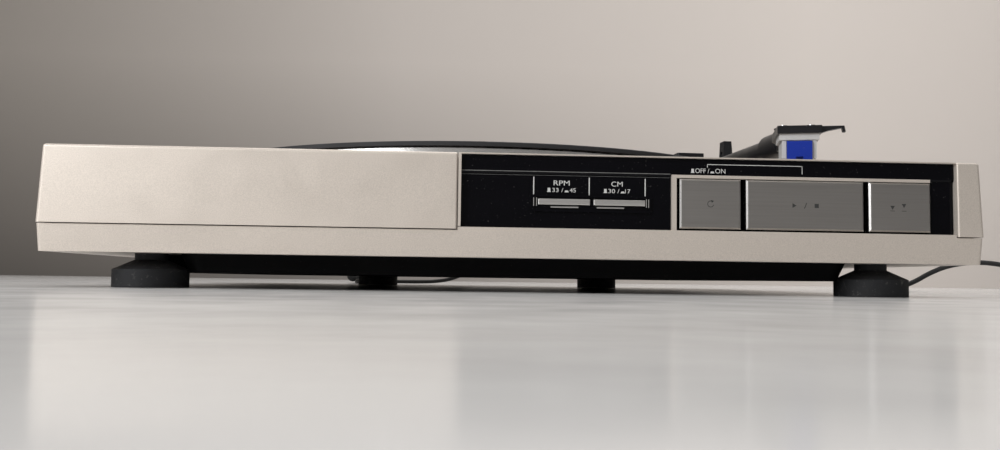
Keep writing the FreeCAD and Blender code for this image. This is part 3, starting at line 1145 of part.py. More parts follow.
def make_dial():
    knob = disc(DIAL_X, DIAL_Y, DECK_TOP + PIECE_CLEARANCE, DECK_TOP + DIAL_HEIGHT, DIAL_RADIUS)
    knob = knob.makeChamfer(0.8, edges_where(knob, lambda b: b.ZMin > DECK_TOP + DIAL_HEIGHT - 0.01))
    grip = box(DIAL_X - 1.2, DIAL_Y - DIAL_RADIUS + 1.5, DECK_TOP + DIAL_HEIGHT - 1,
               DIAL_X + 1.2, DIAL_Y + DIAL_RADIUS - 1.5, DECK_TOP + DIAL_HEIGHT + 1.8)
    stem = disc(DIAL_X, DIAL_Y, DECK_UNDERSIDE - 1.5, DECK_TOP + 1, DIAL_STEM_RADIUS)
    return joined([knob, grip, stem])


def make_drive_lever():
    low = LEVER_BOTTOM
    high = low + LEVER_THICKNESS
    hub = disc(LEVER_X, LEVER_Y, low - 0.5, high + 0.5, LEVER_HUB_RADIUS)
    half = LEVER_WIDTH / 2
    arm = box(LEVER_X - LEVER_REACH, LEVER_Y - half, low, LEVER_X, LEVER_Y + half, high)
    pad = disc(LEVER_X - LEVER_REACH, LEVER_Y, low, high, half)
    pin = disc(LEVER_X - LEVER_REACH, LEVER_Y, low, GEAR_BOTTOM + CAM_TRACK_DEPTH - 0.5,
               LEVER_PIN_RADIUS)
    tail = box(0, -half, low, LEVER_TAIL, half, high)
    tail = moved(turned(tail, 42.0), LEVER_X, LEVER_Y, 0)
    return joined([hub, arm, pad, pin, tail]).cut(disc(LEVER_X, LEVER_Y, 0, TALL,
                                                       LEVER_POST_RADIUS + RUNNING_CLEARANCE))


def cord_tube(name, points, radius):
    points = [V(*point) for point in points]
    edges = []
    radii = []
    start = points[0]
    for before, corner, after in zip(points, points[1:], points[2:]):
        into = (corner - before).normalize()
        out = (after - corner).normalize()
        half_turn = into.getAngle(out) / 2
        reach = 0.45 * min((corner - before).Length, (after - corner).Length)
        bend = reach / math.tan(half_turn)
        radii.append(bend)
        a, b = corner - into * reach, corner + out * reach
        inward = (out - into).normalize()
        middle = corner + inward * (bend / math.cos(half_turn) - bend)
        edges.append(Part.LineSegment(start, a).toShape())
        edges.append(Part.Arc(a, middle, b).toShape())
        start = b
    edges.append(Part.LineSegment(start, points[-1]).toShape())
    path = Part.Wire(edges)
    tube = swept(path, points[0], points[1] - points[0], radius)
    length = sum(edge.Length for edge in edges)
    share = tube.Volume / (math.pi * radius ** 2 * length)
    print(name, "length", round(length, 1), "volume share", round(share, 4), "radii",
          [round(r, 1) for r in radii])
    return tube


def swept(path, start, direction, radius):
    circle = Part.Wire([Part.makeCircle(radius, start, direction)])
    return path.makePipeShell([circle], True, False)


def quarter(start, corner, end):
    middle = (start + end) * 0.5
    reach = (corner - start).Length
    towards = corner - middle
    half_turn = math.asin(min(1.0, towards.Length / reach))
    if half_turn < 1e-6:
        return Part.LineSegment(start, end).toShape()
    bend = reach / math.tan(half_turn)
    return Part.Arc(start, middle + towards.normalize() * (bend * (1 - math.cos(half_turn))), end).toShape()


def biarc(p0, t0, p1, t1):
    chord = p1 - p0
    if chord.cross(t0).Length < 1e-6 and chord.cross(t1).Length < 1e-6:
        return [Part.LineSegment(p0, p1).toShape()]
    total = t0 + t1
    a = 2 * (1 - t0.dot(t1))
    b = 2 * chord.dot(total)
    c = -chord.dot(chord)
    reach = -c / b if abs(a) < 1e-9 else (-b + math.sqrt(b * b - 4 * a * c)) / (2 * a)
    q0, q1 = p0 + t0 * reach, p1 - t1 * reach
    joint = (q0 + q1) * 0.5
    return [quarter(p0, q0, joint), quarter(joint, q1, p1)]


def loop_widths(inner, step, turns, layers, shift):
    count = 2 * turns
    inward = [inner + (count - 1 - index) * step / 2 for index in range(count)]
    outward = [width + shift * step / 2 for width in inward[::-1]]
    sequence = []
    for layer in range(layers):
        widths = inward if layer % 2 == 0 else outward
        sequence.extend((width, layer) for width in widths)
    return sequence


def wound(name, run, inner, turns, layers, diameter, place, heading, lift, tail):
    step = diameter + LOOP_GAP
    sequence = loop_widths(inner, step, turns, layers, 1 if run else 0)
    stations = []
    sequence.pop()
    for index, (width, layer) in enumerate(sequence):
        side = 1 if index % 2 == 0 else -1
        travel = V(0, -side, 0)
        z = lift + diameter / 2 + layer * step
        if run:
            stations.append((V(side * width, side * run / 2, z), travel))
            next_layer = sequence[index + 1][1] if index + 1 < len(sequence) else layer
            z = lift + diameter / 2 + next_layer * step
        stations.append((V(side * width, -side * run / 2, z), travel))
    first, last = stations[0], stations[-1]
    stations.insert(0, (first[0] - first[1] * diameter, first[1]))
    stations.append((last[0] + last[1] * tail, last[1]))
    edges = []
    for (p0, t0), (p1, t1) in zip(stations, stations[1:]):
        edges.extend(biarc(p0, t0, p1, t1))
    path = Part.Wire(edges)
    tube = swept(path, stations[0][0], stations[0][1], diameter / 2)
    length = path.Length
    samples = path.discretize(Number=int(length / 2.0))
    spacing = length / (len(samples) - 1)
    skip = int(4 * diameter / spacing) + 1
    count = len(samples)
    nearest = min((samples[i] - samples[j]).Length for i in range(count) for j in range(i + skip, count))
    print(name, "length", round(length, 1), "least gap", round(nearest - diameter, 2), "volume share",
          round(tube.Volume / (math.pi * diameter ** 2 / 4 * length), 4))
    tube = moved(turned(tube, heading), place[0], place[1], 0)
    rotation = FreeCAD.Rotation(V(0, 0, 1), heading)
    start, end = [rotation.multVec(point) + V(place[0], place[1],
                                              0) for point in (stations[0][0], stations[-1][0])]
    print(name, "starts at", start, "ends at", end, "towards", rotation.multVec(stations[0][1]))
    return tube, start, end


def strain_relief(x, z, start, length, body_radius, cord_radius):
    inside = Part.makeCylinder(body_radius - 0.3, start - HALF_DEPTH + 12, V(x, HALF_DEPTH - 12, z),
                               V(0, 1, 0))
    taper = Part.makeCone(body_radius, cord_radius + 0.8, length, V(x, start, z), V(0, 1, 0))
    return joined([inside, taper])


def make_mains_plug(end):
    x, y, z = end.x, end.y - PLUG_NECK, end.z
    front = y - PLUG_LENGTH
    body = box(x - PLUG_WIDTH / 2, front, 0, x + PLUG_WIDTH / 2, y, 2 * z)
    body = body.makeFillet(3.0, edges_where(body, lambda b: b.YLength > 1 or b.ZLength > 1))
    neck = Part.makeCone(MAINS_RADIUS + 0.6, MAINS_RADIUS + 2.4, PLUG_NECK + 1, V(x, end.y, z), V(0, -1, 0))
    pins = []
    for side in (-1, 1):
        pins.append(Part.makeCylinder(PIN_RADIUS, PIN_LENGTH + 1, V(x + side * PIN_SPREAD, front + 1, z),
                                      V(0, -1, 0)))
    return joined([body, neck] + pins)


def make_phono_tie():
    half = HANK_INNER + (2 * HANK_TURNS - 1) * (2 * PHONO_RADIUS + LOOP_GAP) / 2 + PHONO_RADIUS + TIE_ROOM
    top = TIE_THICKNESS + 4 * PHONO_RADIUS + LOOP_GAP + 3 * TIE_ROOM
    outer = box(-half - TIE_THICKNESS, -TIE_WIDTH / 2, 0, half + TIE_THICKNESS, TIE_WIDTH / 2,
                top + TIE_THICKNESS)
    outer = outer.makeFillet(1.2,
                             edges_where(outer,
                                         lambda b: b.YLength > 1 and b.XLength < 0.1 and b.ZLength < 0.1))
    tie = outer.cut(box(-half, -TIE_WIDTH, TIE_THICKNESS, half, TIE_WIDTH, top))
    return moved(turned(tie, HANK_HEADING), HANK_PLACE[0], HANK_PLACE[1], 0)


def make_phono_plugs(end, heading):
    parts = [box(-7, 0, -2.6, 7, PHONO_SPLIT, 2.6)]
    for side in (-1, 1):
        x = side * PHONO_PLUG_SPREAD
        parts.append(moved(along(PHONO_SPLIT - 1, PHONO_SPLIT + PHONO_PLUG_LENGTH, PHONO_PLUG_RADIUS), x, 0,
                           0))
        tip = PHONO_SPLIT + PHONO_PLUG_LENGTH
        parts.append(moved(along(tip - 1, tip + 7, 1.6), x, 0, 0))
        parts.append(moved(ring_along(tip - 1, tip + 5, 4.2, 3.7), x, 0, 0))
    plugs = turned(joined(parts), heading)
    return moved(plugs, end.x, end.y, end.z)


def make_control_board():
    low = FRAME_BOTTOM + FRAME_FLOOR
    top = low + BOARD_STANDOFF
    x0, y0 = BOARD_LEFT, BOARD_FRONT
    x1, y1 = x0 + BOARD_WIDTH, y0 + BOARD_LENGTH
    board = box(x0, y0, top, x1, y1, top + BOARD_THICKNESS)
    parts = [board]
    corner = 0.1 * BOARD_WIDTH
    for x in (x0 + corner, x0 + 4 * corner):
        for y in (y0 + corner, y1 - corner):
            parts.append(disc(x, y, low, top + BOARD_THICKNESS / 2, corner / 2))
    surface = top + BOARD_THICKNESS / 2
    for dx, dy, radius, height in ((0.32, 0.22, 0.1, 0.24), (0.58, 0.22, 0.08, 0.2), (0.84, 0.24, 0.1, 0.28)):
        x, y = x0 + dx * BOARD_WIDTH, y0 + dy * BOARD_LENGTH
        parts.append(disc(x, y, surface, surface + height * BOARD_WIDTH, radius * BOARD_WIDTH))
    for dx, dy in ((0.16, 0.5), (0.58, 0.5), (0.18, 0.73), (0.6, 0.76)):
        x, y = x0 + dx * BOARD_WIDTH, y0 + dy * BOARD_LENGTH
        chip = box(x, y, surface, x + 0.32 * BOARD_WIDTH, y + 0.14 * BOARD_WIDTH,
                   surface + 0.09 * BOARD_WIDTH)
        parts.append(chip)
    return joined(parts)


def make_transformer():
    low = FRAME_BOTTOM + FRAME_FLOOR
    x, y = TRANSFORMER_X, TRANSFORMER_Y
    w, l, h = TRANSFORMER_WIDTH / 2, TRANSFORMER_LENGTH / 2, TRANSFORMER_HEIGHT
    core = box(x - w, y - l * 0.6, low, x + w, y + l * 0.6, low + h)
    coil = rounded_block(x - w * 0.7, y - l, x + w * 0.7, y + l, low + 2, low + h - 2, 4.0)
    return joined([core, coil])


def save(name, shape):
    shape.exportStep("parts/" + name + ".step")
    if not shape.isValid():
        print("not valid:", name)


def save_cords():
    lift = TIE_THICKNESS + TIE_ROOM
    coil, coil_start, coil_end = wound("mains_coil", 0.0, COIL_INNER, COIL_TURNS, 2, 2 * MAINS_RADIUS,
                                       COIL_PLACE, 0.0,
                                       0.0, COIL_TAIL)
    hank, hank_start, hank_end = wound("phono_hank", HANK_RUN, HANK_INNER, HANK_TURNS, 2, 2 * PHONO_RADIUS,
                                       HANK_PLACE,
                                       HANK_HEADING, lift, HANK_TAIL)
    save("mains_coil", coil)
    save("phono_hank", hank)
    exit_y = HALF_DEPTH + MAINS_RELIEF_LENGTH
    mains = [(MAINS_EXIT_X, exit_y, MAINS_EXIT_Z)]
    mains += [(MAINS_EXIT_X + x, HALF_DEPTH + y, z) for x, y, z in MAINS_ROUTE]
    mains += [(coil_start.x, coil_start.y + MAINS_LEAD, coil_start.z), tuple(coil_start)]
    save("mains_cord", cord_tube("mains_cord", mains, MAINS_RADIUS))
    exit_y = HALF_DEPTH + PHONO_RELIEF_LENGTH
    back = V(0, -PHONO_LEAD, 0)
    back = FreeCAD.Rotation(V(0, 0, 1), HANK_HEADING - 180).multVec(back)
    phono = [(PHONO_EXIT_X, exit_y, PHONO_EXIT_Z)]
    phono += [(PHONO_EXIT_X + x, HALF_DEPTH + y, z) for x, y, z in PHONO_ROUTE]
    phono += [tuple(hank_start + back), tuple(hank_start)]
    save("phono_cord", cord_tube("phono_cord", phono, PHONO_RADIUS))
    save("mains_strain_relief", strain_relief(MAINS_EXIT_X, MAINS_EXIT_Z, HALF_DEPTH, MAINS_RELIEF_LENGTH,
                                              MAINS_RELIEF_RADIUS, MAINS_RADIUS))
    save("phono_strain_relief", strain_relief(PHONO_EXIT_X, PHONO_EXIT_Z, HALF_DEPTH, PHONO_RELIEF_LENGTH,
                                              PHONO_RELIEF_RADIUS, PHONO_RADIUS))
    save("mains_plug", make_mains_plug(coil_end))
    save("phono_plugs", make_phono_plugs(hank_end, HANK_HEADING - 180))
    save("phono_tie", make_phono_tie())


def main():
    os.makedirs("parts", exist_ok=True)
    save("cabinet", make_cabinet())
    save("left_block", make_front_block(-HALF_WIDTH - 1, LEFT_BLOCK_END, True))
    save("right_block", make_front_block(RIGHT_BLOCK_START, HALF_WIDTH + 1, False))
    save("lower_frame", make_lower_frame())
    save("bottom_pan", make_bottom_pan())
    foot_names = ("foot_front_left", "foot_front_right", "foot_rear_left", "foot_rear_right")
    for name, (x, y) in zip(foot_names, FOOT_PLACES):
        save(name, make_foot(x, y))
    save("foot_screws", make_foot_screws())
    save("case_screws", make_case_screws())
    save("fascia_upper", make_fascia_upper())
    save("fascia_panel", make_fascia_panel())
    save("button_frame", button_frame_shape(0.0))
    for name, left, width in BUTTONS:
        save(name + "_button", make_button(left, width))
    for name, left in KEYS:
        save(name + "_key", make_key(left))
    save("switch_block", make_switch_block())
    save("hinge_sockets", make_hinge_sockets())
    save("platter", make_platter())
    save("platter_mat", make_mat())
    save("spindle", make_spindle())
    save("platter_gear", make_platter_gear())
    save("cam_gear", make_cam_gear())
    save("drive_lever", make_drive_lever())
    save("bearing_housing", make_bearing_housing())
    save("sub_chassis", make_sub_chassis())
    save("motor", make_motor())
    save("motor_plate", make_motor_plate())
    save("motor_grommets", make_grommets())
    save("motor_pulley", make_pulley())
    save("drive_belt", make_belt())
    save("control_board", make_control_board())
    save("transformer", make_transformer())
    save("arm_base", make_arm_base())
    save("arm_gimbal", make_gimbal())
    save("arm_tube", make_arm_tube())
    save("locking_ring", make_locking_ring())
    save("headshell", make_headshell())
    save("headshell_screws", make_headshell_screws())
    save("cartridge", make_cartridge())
    save("stylus_guard", make_stylus())
    save("weight_sleeve", make_weight_sleeve())
    save("counterweight", make_counterweight())
    save("arm_rest", make_arm_rest())
    save("rest_clamp", make_rest_clamp())
    save("lift_sleeve", make_lift_sleeve())
    save("lift_platform", make_lift_platform())
    save("antiskate_dial", make_dial())
    save_cords()


main()
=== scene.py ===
"""Looks of a low automatic turntable: finishes, lettering and cords. Metres, +X right, -Y front, +Z up."""
import json
import math

import bpy
from mathutils import Matrix, Vector


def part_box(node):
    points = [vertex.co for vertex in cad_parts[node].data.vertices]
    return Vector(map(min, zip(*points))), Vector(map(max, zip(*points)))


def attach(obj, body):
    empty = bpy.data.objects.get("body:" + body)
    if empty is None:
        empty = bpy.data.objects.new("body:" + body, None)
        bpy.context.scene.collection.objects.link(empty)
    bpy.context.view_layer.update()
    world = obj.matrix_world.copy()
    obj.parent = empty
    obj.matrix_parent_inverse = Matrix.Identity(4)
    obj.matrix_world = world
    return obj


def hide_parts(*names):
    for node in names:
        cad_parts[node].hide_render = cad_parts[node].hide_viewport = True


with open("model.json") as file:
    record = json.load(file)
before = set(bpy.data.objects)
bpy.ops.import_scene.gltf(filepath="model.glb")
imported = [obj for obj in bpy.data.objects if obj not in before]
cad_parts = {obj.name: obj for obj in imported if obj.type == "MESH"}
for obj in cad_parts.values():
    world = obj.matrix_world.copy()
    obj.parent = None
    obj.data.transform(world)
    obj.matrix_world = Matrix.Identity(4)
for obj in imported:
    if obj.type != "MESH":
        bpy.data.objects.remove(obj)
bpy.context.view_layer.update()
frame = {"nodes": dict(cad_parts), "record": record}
NODES = frame["nodes"]

# Camera, matched to the photograph's frame of 1000 by 450
PHOTO_WIDTH = 1000
FOCAL_PIXELS = 881.8
SENSOR_WIDTH = 36.0
CAMERA_PLACE = Vector((-0.0265, -0.508, 0.00484))
CAMERA_YAW = 0.053
CAMERA_PITCH = 0.062
CAMERA_ROLL = -0.0138

# Cords, with the routes of the solids
MAINS_DIAMETER = 0.0044
MAINS_EXIT = (0.162, 0.203, 0.036)
MAINS_ROUTE = [
    (0.162, 0.221, 0.036), (0.166, 0.241, 0.0345), (0.178, 0.2585, 0.031), (0.199, 0.27, 0.0265),
    (0.225, 0.2765, 0.022), (0.252, 0.2795, 0.0185), (0.28, 0.281, 0.0155), (0.306, 0.282, 0.012),
    (0.33, 0.283, 0.008), (0.352, 0.2845, 0.0042), (0.372, 0.2865, 0.0023), (0.388, 0.2885, 0.0032),
    (0.402, 0.2895, 0.0085), (0.414, 0.2875, 0.016), (0.426, 0.281, 0.0225), (0.438, 0.2705, 0.026),
    (0.45, 0.257, 0.0263), (0.461, 0.2415, 0.023), (0.469, 0.223, 0.017), (0.4715, 0.203, 0.0095),
    (0.467, 0.185, 0.0036), (0.457, 0.168, 0.0022), (0.446, 0.151, 0.0022), (0.434, 0.132, 0.0022),
    (0.42, 0.113, 0.0022), (0.406, 0.096, 0.0023), (0.3985, 0.079, 0.0024),
]
MAINS_LEAD = 0.022
PHONO_DIAMETER = 0.003
PHONO_EXIT = (-0.008, 0.191, 0.032)
PHONO_ROUTE = [
    (-0.008, 0.202, 0.032), (-0.0086, 0.2115, 0.024), (-0.0115, 0.2185, 0.0155),
    (-0.018, 0.2225, 0.0088), (-0.0275, 0.2245, 0.0048), (-0.0385, 0.225, 0.0029),
    (-0.05, 0.2235, 0.0023), (-0.064, 0.2205, 0.0022), (-0.079, 0.2175, 0.0023),
    (-0.094, 0.217, 0.0024),
]
PHONO_LEAD = 0.014
LOOP_GAP = 0.0013
COIL_INNER = 0.019
COIL_TURNS = 3
COIL_PLACE = (0.362, 0.030)
COIL_TAIL = 0.021
HANK_RUN = 0.060
HANK_INNER = 0.009
HANK_TURNS = 2
HANK_TAIL = 0.014
HANK_PLACE = (-0.094, 0.276)
HANK_HEADING = 184.9
HANK_LIFT = 0.00095
POINTS_PER_HALF_TURN = 8

# Lettering: the panel's ink stands on its bezel, heights are of the foot of each line of print
BEZEL_PROUD = 0.001
HEADING_LOW = 0.0414
HEADING_HEIGHT = 0.0019
VALUES_LOW = 0.0388
VALUES_HEIGHT = 0.0016
STRIP_WORDS_LOW = 0.0472
STRIP_WORDS_HEIGHT = 0.0018
RAISED_ICON = 0.0016
PRESSED_ICON = 0.0017

# Tonearm, as in the solids
ARM_PIVOT = (0.136, 0.095, 0.0776)
ARM_REST_ANGLE = 3.0
ARM_BEND = 0.165
SHELL_OFFSET = 18.0


def place_camera():
    camera = bpy.data.objects.new("camera", bpy.data.cameras.new("camera"))
    bpy.context.scene.collection.objects.link(camera)
    camera.data.sensor_width = SENSOR_WIDTH
    camera.data.lens = SENSOR_WIDTH * FOCAL_PIXELS / PHOTO_WIDTH
    camera.data.clip_start = 0.01
    flat = math.cos(CAMERA_PITCH)
    forward = Vector((math.sin(CAMERA_YAW) * flat, math.cos(CAMERA_YAW) * flat, math.sin(CAMERA_PITCH)))
    right = Vector((math.cos(CAMERA_YAW), -math.sin(CAMERA_YAW), 0))
    up = right.cross(forward)
    cos, sin = math.cos(CAMERA_ROLL), math.sin(CAMERA_ROLL)
    axes = (right * cos - up * sin, up * cos + right * sin, -forward)
    camera.matrix_world = Matrix.Translation(CAMERA_PLACE) @ Matrix(axes).transposed().to_4x4()
    bpy.context.scene.camera = camera


class Finish:
    """A procedural material: nodes in the part's own coordinates that feed one surface shader."""

    def __init__(self, name):
        self.material = bpy.data.materials.new(name)
        self.material.use_nodes = True
        self.nodes = self.material.node_tree.nodes
        self.links = self.material.node_tree.links
        self.shader = self.nodes["Principled BSDF"]
        coordinates = self.nodes.new("ShaderNodeTexCoord")
        self.place = coordinates.outputs["Object"]
        self.facing = coordinates.outputs["Normal"]

    def set(self, **values):
        for name, value in values.items():
            socket = name.replace("_", " ").title().replace("Ior", "IOR")
            self.shader.inputs[socket].default_value = value
        return self

    def node(self, kind, **inputs):
        node = self.nodes.new(kind)
        for name, value in inputs.items():
            socket = node.inputs[name.replace("_", " ")]
            if isinstance(value, bpy.types.NodeSocket):
                self.links.new(value, socket)
            else:
                socket.default_value = value
        return node

    def stretched(self, scale, turn=(0, 0, 0)):
        mapping = self.node("ShaderNodeMapping", Vector=self.place, Scale=scale, Rotation=turn)
        return mapping.outputs["Vector"]

    def noise(self, scale, detail=3.0, vector=None, roughness=0.5):
        node = self.node("ShaderNodeTexNoise", Vector=vector or self.place, Scale=scale, Detail=detail,
                         Roughness=roughness)
        return node.outputs["Fac"]

    def spread(self, value, low, high, new_low, new_high):
        node = self.node("ShaderNodeMapRange", Value=value, From_Min=low, From_Max=high, To_Min=new_low,
                         To_Max=new_high)
        return node.outputs["Result"]

    def colours(self, factor, first, second):
        node = self.nodes.new("ShaderNodeMix")
        node.data_type = "RGBA"
        self.links.new(factor, node.inputs["Factor"])
        for index, value in ((6, first), (7, second)):
            if isinstance(value, bpy.types.NodeSocket):
                self.links.new(value, node.inputs[index])
            else:
                node.inputs[index].default_value = (*value, 1.0)
        return node.outputs[2]

    def math(self, operation, first, second=0.0):
        node = self.nodes.new("ShaderNodeMath")
        node.operation = operation
        for index, value in enumerate((first, second)):
            if isinstance(value, bpy.types.NodeSocket):
                self.links.new(value, node.inputs[index])
            else:
                node.inputs[index].default_value = value
        return node.outputs[0]

    def radius_from(self, x, y):
        parts = self.node("ShaderNodeSeparateXYZ", Vector=self.place)
        dx = self.math("SUBTRACT", parts.outputs["X"], x)
        dy = self.math("SUBTRACT", parts.outputs["Y"], y)
        square = self.math("ADD", self.math("MULTIPLY", dx, dx), self.math("MULTIPLY", dy, dy))
        return self.math("SQRT", square), parts.outputs["Z"]

    def colour(self, value):
        self.links.new(value, self.shader.inputs["Base Color"])
        return self

    def rough(self, value):
        self.links.new(value, self.shader.inputs["Roughness"])
        return self

    def bump(self, height, strength, distance):
        node = self.node("ShaderNodeBump", Height=height, Strength=strength, Distance=distance)
        self.links.new(node.outputs["Normal"], self.shader.inputs["Normal"])
        return self


def shade(colour, amount):
    return tuple(min(1.0, channel * amount) for channel in colour)


def metallic_paint(name, colour, metallic, roughness):
    finish = Finish(name).set(metallic=metallic, IOR=1.45)
    flakes = finish.noise(2600.0, 2.0, roughness=0.7)
    clouds = finish.noise(9.0, 4.0)
    tone = finish.colours(finish.spread(flakes, 0.35, 0.65, 0.0, 1.0), shade(colour, 0.90),
                          shade(colour, 1.07))
    tone = finish.colours(finish.spread(clouds, 0.35, 0.7, 0.0, 0.12), tone, shade(colour, 0.80))
    finish.colour(tone)
    finish.rough(finish.spread(finish.noise(70.0, 5.0), 0.3, 0.7, roughness - 0.05, roughness + 0.08))
    finish.bump(finish.noise(1500.0, 2.0), 0.10, 0.00012)
    return finish.material


def brushed(name, colour, along, roughness, metallic=1.0, depth=0.08, painted_side_highlight=False):
    finish = Finish(name).set(metallic=metallic)
    scale = [2400.0, 2400.0, 2400.0]
    scale["xyz".index(along)] = 26.0
    streaks = finish.noise(1.0, 3.0, finish.stretched(scale), 0.65)
    wide = finish.noise(14.0, 3.0)
    tone = finish.colours(finish.spread(streaks, 0.3, 0.7, 0.0, 1.0), shade(colour, 0.94),
                          shade(colour, 1.05))
    tone = finish.colours(finish.spread(wide, 0.4, 0.75, 0.0, 0.12), tone, shade(colour, 0.85))
    rough = finish.spread(streaks, 0.3, 0.7, roughness - 0.04, roughness + 0.05)
    # Painted highlight: faces turned away from the front (sides, top, bottom) are painted much lighter and
    # smoother, standing in for the bright strips of light along the button sides
    if painted_side_highlight:
        parts = finish.node("ShaderNodeSeparateXYZ", Vector=finish.facing)
        side_highlight_mask = finish.spread(finish.math("ABSOLUTE", parts.outputs["Y"]), 0.55, 0.90, 1.0, 0.0)
        tone = finish.colours(side_highlight_mask, tone, (0.86, 0.85, 0.83))
        rough = finish.math("MULTIPLY", rough, finish.spread(side_highlight_mask, 0.0, 1.0, 1.0, 0.45))
    finish.colour(tone)
    finish.rough(rough)
    finish.bump(streaks, depth, 0.00008)
    return finish.material


def turned_metal(name, colour, roughness, x, y):
    finish = Finish(name).set(metallic=1.0)
    radius, height = finish.radius_from(x, y)
    track = finish.node("ShaderNodeCombineXYZ", X=finish.math("MULTIPLY", radius, 5200.0),
                        Y=finish.math("MULTIPLY", height, 5200.0))
    rings = finish.noise(1.0, 3.0, track.outputs["Vector"], 0.6)
    tone = finish.colours(finish.spread(rings, 0.3, 0.7, 0.0, 1.0), shade(colour, 0.86), shade(colour, 1.08))
    stains = finish.noise(30.0, 4.0)
    finish.colour(finish.colours(finish.spread(stains, 0.5, 0.8, 0.0, 0.25), tone, shade(colour, 0.7)))
    finish.rough(finish.spread(rings, 0.3, 0.7, roughness - 0.05, roughness + 0.10))
    finish.bump(rings, 0.2, 0.00005)
    return finish.material


def plastic(name, colour, roughness, grain=0.3, dust=0.15, shine=0.25):
    finish = Finish(name).set(IOR=1.5, specular_ior_level=shine)
    fine = finish.noise(1800.0, 2.0)
    broad = finish.noise(22.0, 5.0)
    tone = finish.colours(finish.spread(broad, 0.35, 0.7, 0.0, 1.0), shade(colour, 0.88), shade(colour, 1.14))
    specks = finish.spread(finish.noise(900.0, 1.0), 0.72, 0.80, 0.0, dust)
    finish.colour(finish.colours(specks, tone, (0.42, 0.40, 0.37)))
    finish.rough(finish.spread(finish.noise(60.0, 5.0), 0.3, 0.7, roughness - 0.06, roughness + 0.10))
    finish.bump(fine, grain, 0.00010)
    return finish.material


def gloss_panel(name, colour):
    finish = Finish(name).set(IOR=1.49, specular_ior_level=0.11)
    smears = finish.noise(18.0, 5.0, finish.stretched((1.0, 1.0, 3.0)))
    specks = finish.spread(finish.noise(1400.0, 1.0), 0.74, 0.80, 0.0, 0.35)
    tone = finish.colours(finish.spread(smears, 0.4, 0.75, 0.0, 0.5), colour, shade(colour, 1.5))
    finish.colour(finish.colours(specks, tone, (0.12, 0.115, 0.11)))
    finish.rough(finish.spread(smears, 0.35, 0.75, 0.07, 0.20))
    finish.bump(finish.noise(35.0, 2.0), 0.03, 0.0006)
    return finish.material


def rubber(name, colour, roughness=0.68):
    finish = Finish(name).set(IOR=1.52, specular_ior_level=0.3)
    broad = finish.noise(45.0, 6.0, roughness=0.65)
    dust = finish.noise(420.0, 4.0, roughness=0.7)
    tone = finish.colours(finish.spread(broad, 0.35, 0.7, 0.0, 1.0), shade(colour, 0.75), shade(colour, 1.5))
    finish.colour(finish.colours(finish.spread(dust, 0.58, 0.76, 0.0, 0.30), tone, (0.28, 0.26, 0.24)))
    finish.rough(finish.spread(broad, 0.3, 0.7, roughness - 0.08, roughness + 0.12))
    finish.bump(finish.noise(700.0, 5.0), 0.45, 0.00018)
    return finish.material


def bright_metal(name, colour, roughness):
    finish = Finish(name).set(metallic=1.0)
    haze = finish.noise(120.0, 6.0, roughness=0.6)
    spots = finish.spread(finish.noise(1100.0, 2.0), 0.66, 0.80, 0.0, 0.5)
    tone = finish.colours(finish.spread(haze, 0.35, 0.75, 0.0, 1.0), colour, shade(colour, 0.86))
    finish.colour(finish.colours(spots, tone, shade(colour, 0.4)))
    finish.rough(finish.spread(haze, 0.3, 0.7, roughness, roughness + 0.12))
    finish.bump(haze, 0.04, 0.0002)
    return finish.material


def record_mat(name, colour, x, y):
    finish = Finish(name).set(IOR=1.52)
    radius, height = finish.radius_from(x, y)
    ridges = finish.math("SINE", finish.math("MULTIPLY", radius, 2 * math.pi / 0.0016))
    grain = finish.noise(900.0, 4.0)
    broad = finish.noise(16.0, 5.0)
    tone = finish.colours(finish.spread(broad, 0.35, 0.7, 0.0, 1.0), shade(colour, 0.8), shade(colour, 1.35))
    lint = finish.spread(finish.noise(300.0, 5.0, roughness=0.75), 0.62, 0.78, 0.0, 0.30)
    finish.colour(finish.colours(lint, tone, (0.30, 0.28, 0.26)))
    finish.rough(finish.spread(broad, 0.3, 0.7, 0.62, 0.85))
    height = finish.math("ADD", ridges, finish.math("MULTIPLY", grain, 0.8))
    finish.bump(height, 0.35, 0.00025)
    return finish.material


def circuit_board(name, colour):
    finish = Finish(name).set(IOR=1.5)
    tracks = finish.node("ShaderNodeTexVoronoi", Vector=finish.stretched((1.0, 1.0, 0.01)), Scale=190.0)
    lines = finish.spread(tracks.outputs["Distance"], 0.55, 0.62, 0.0, 0.6)
    finish.colour(finish.colours(lines, colour, shade(colour, 1.8)))
    finish.rough(finish.spread(finish.noise(80.0), 0.3, 0.7, 0.3, 0.5))
    finish.bump(lines, 0.2, 0.0001)
    return finish.material


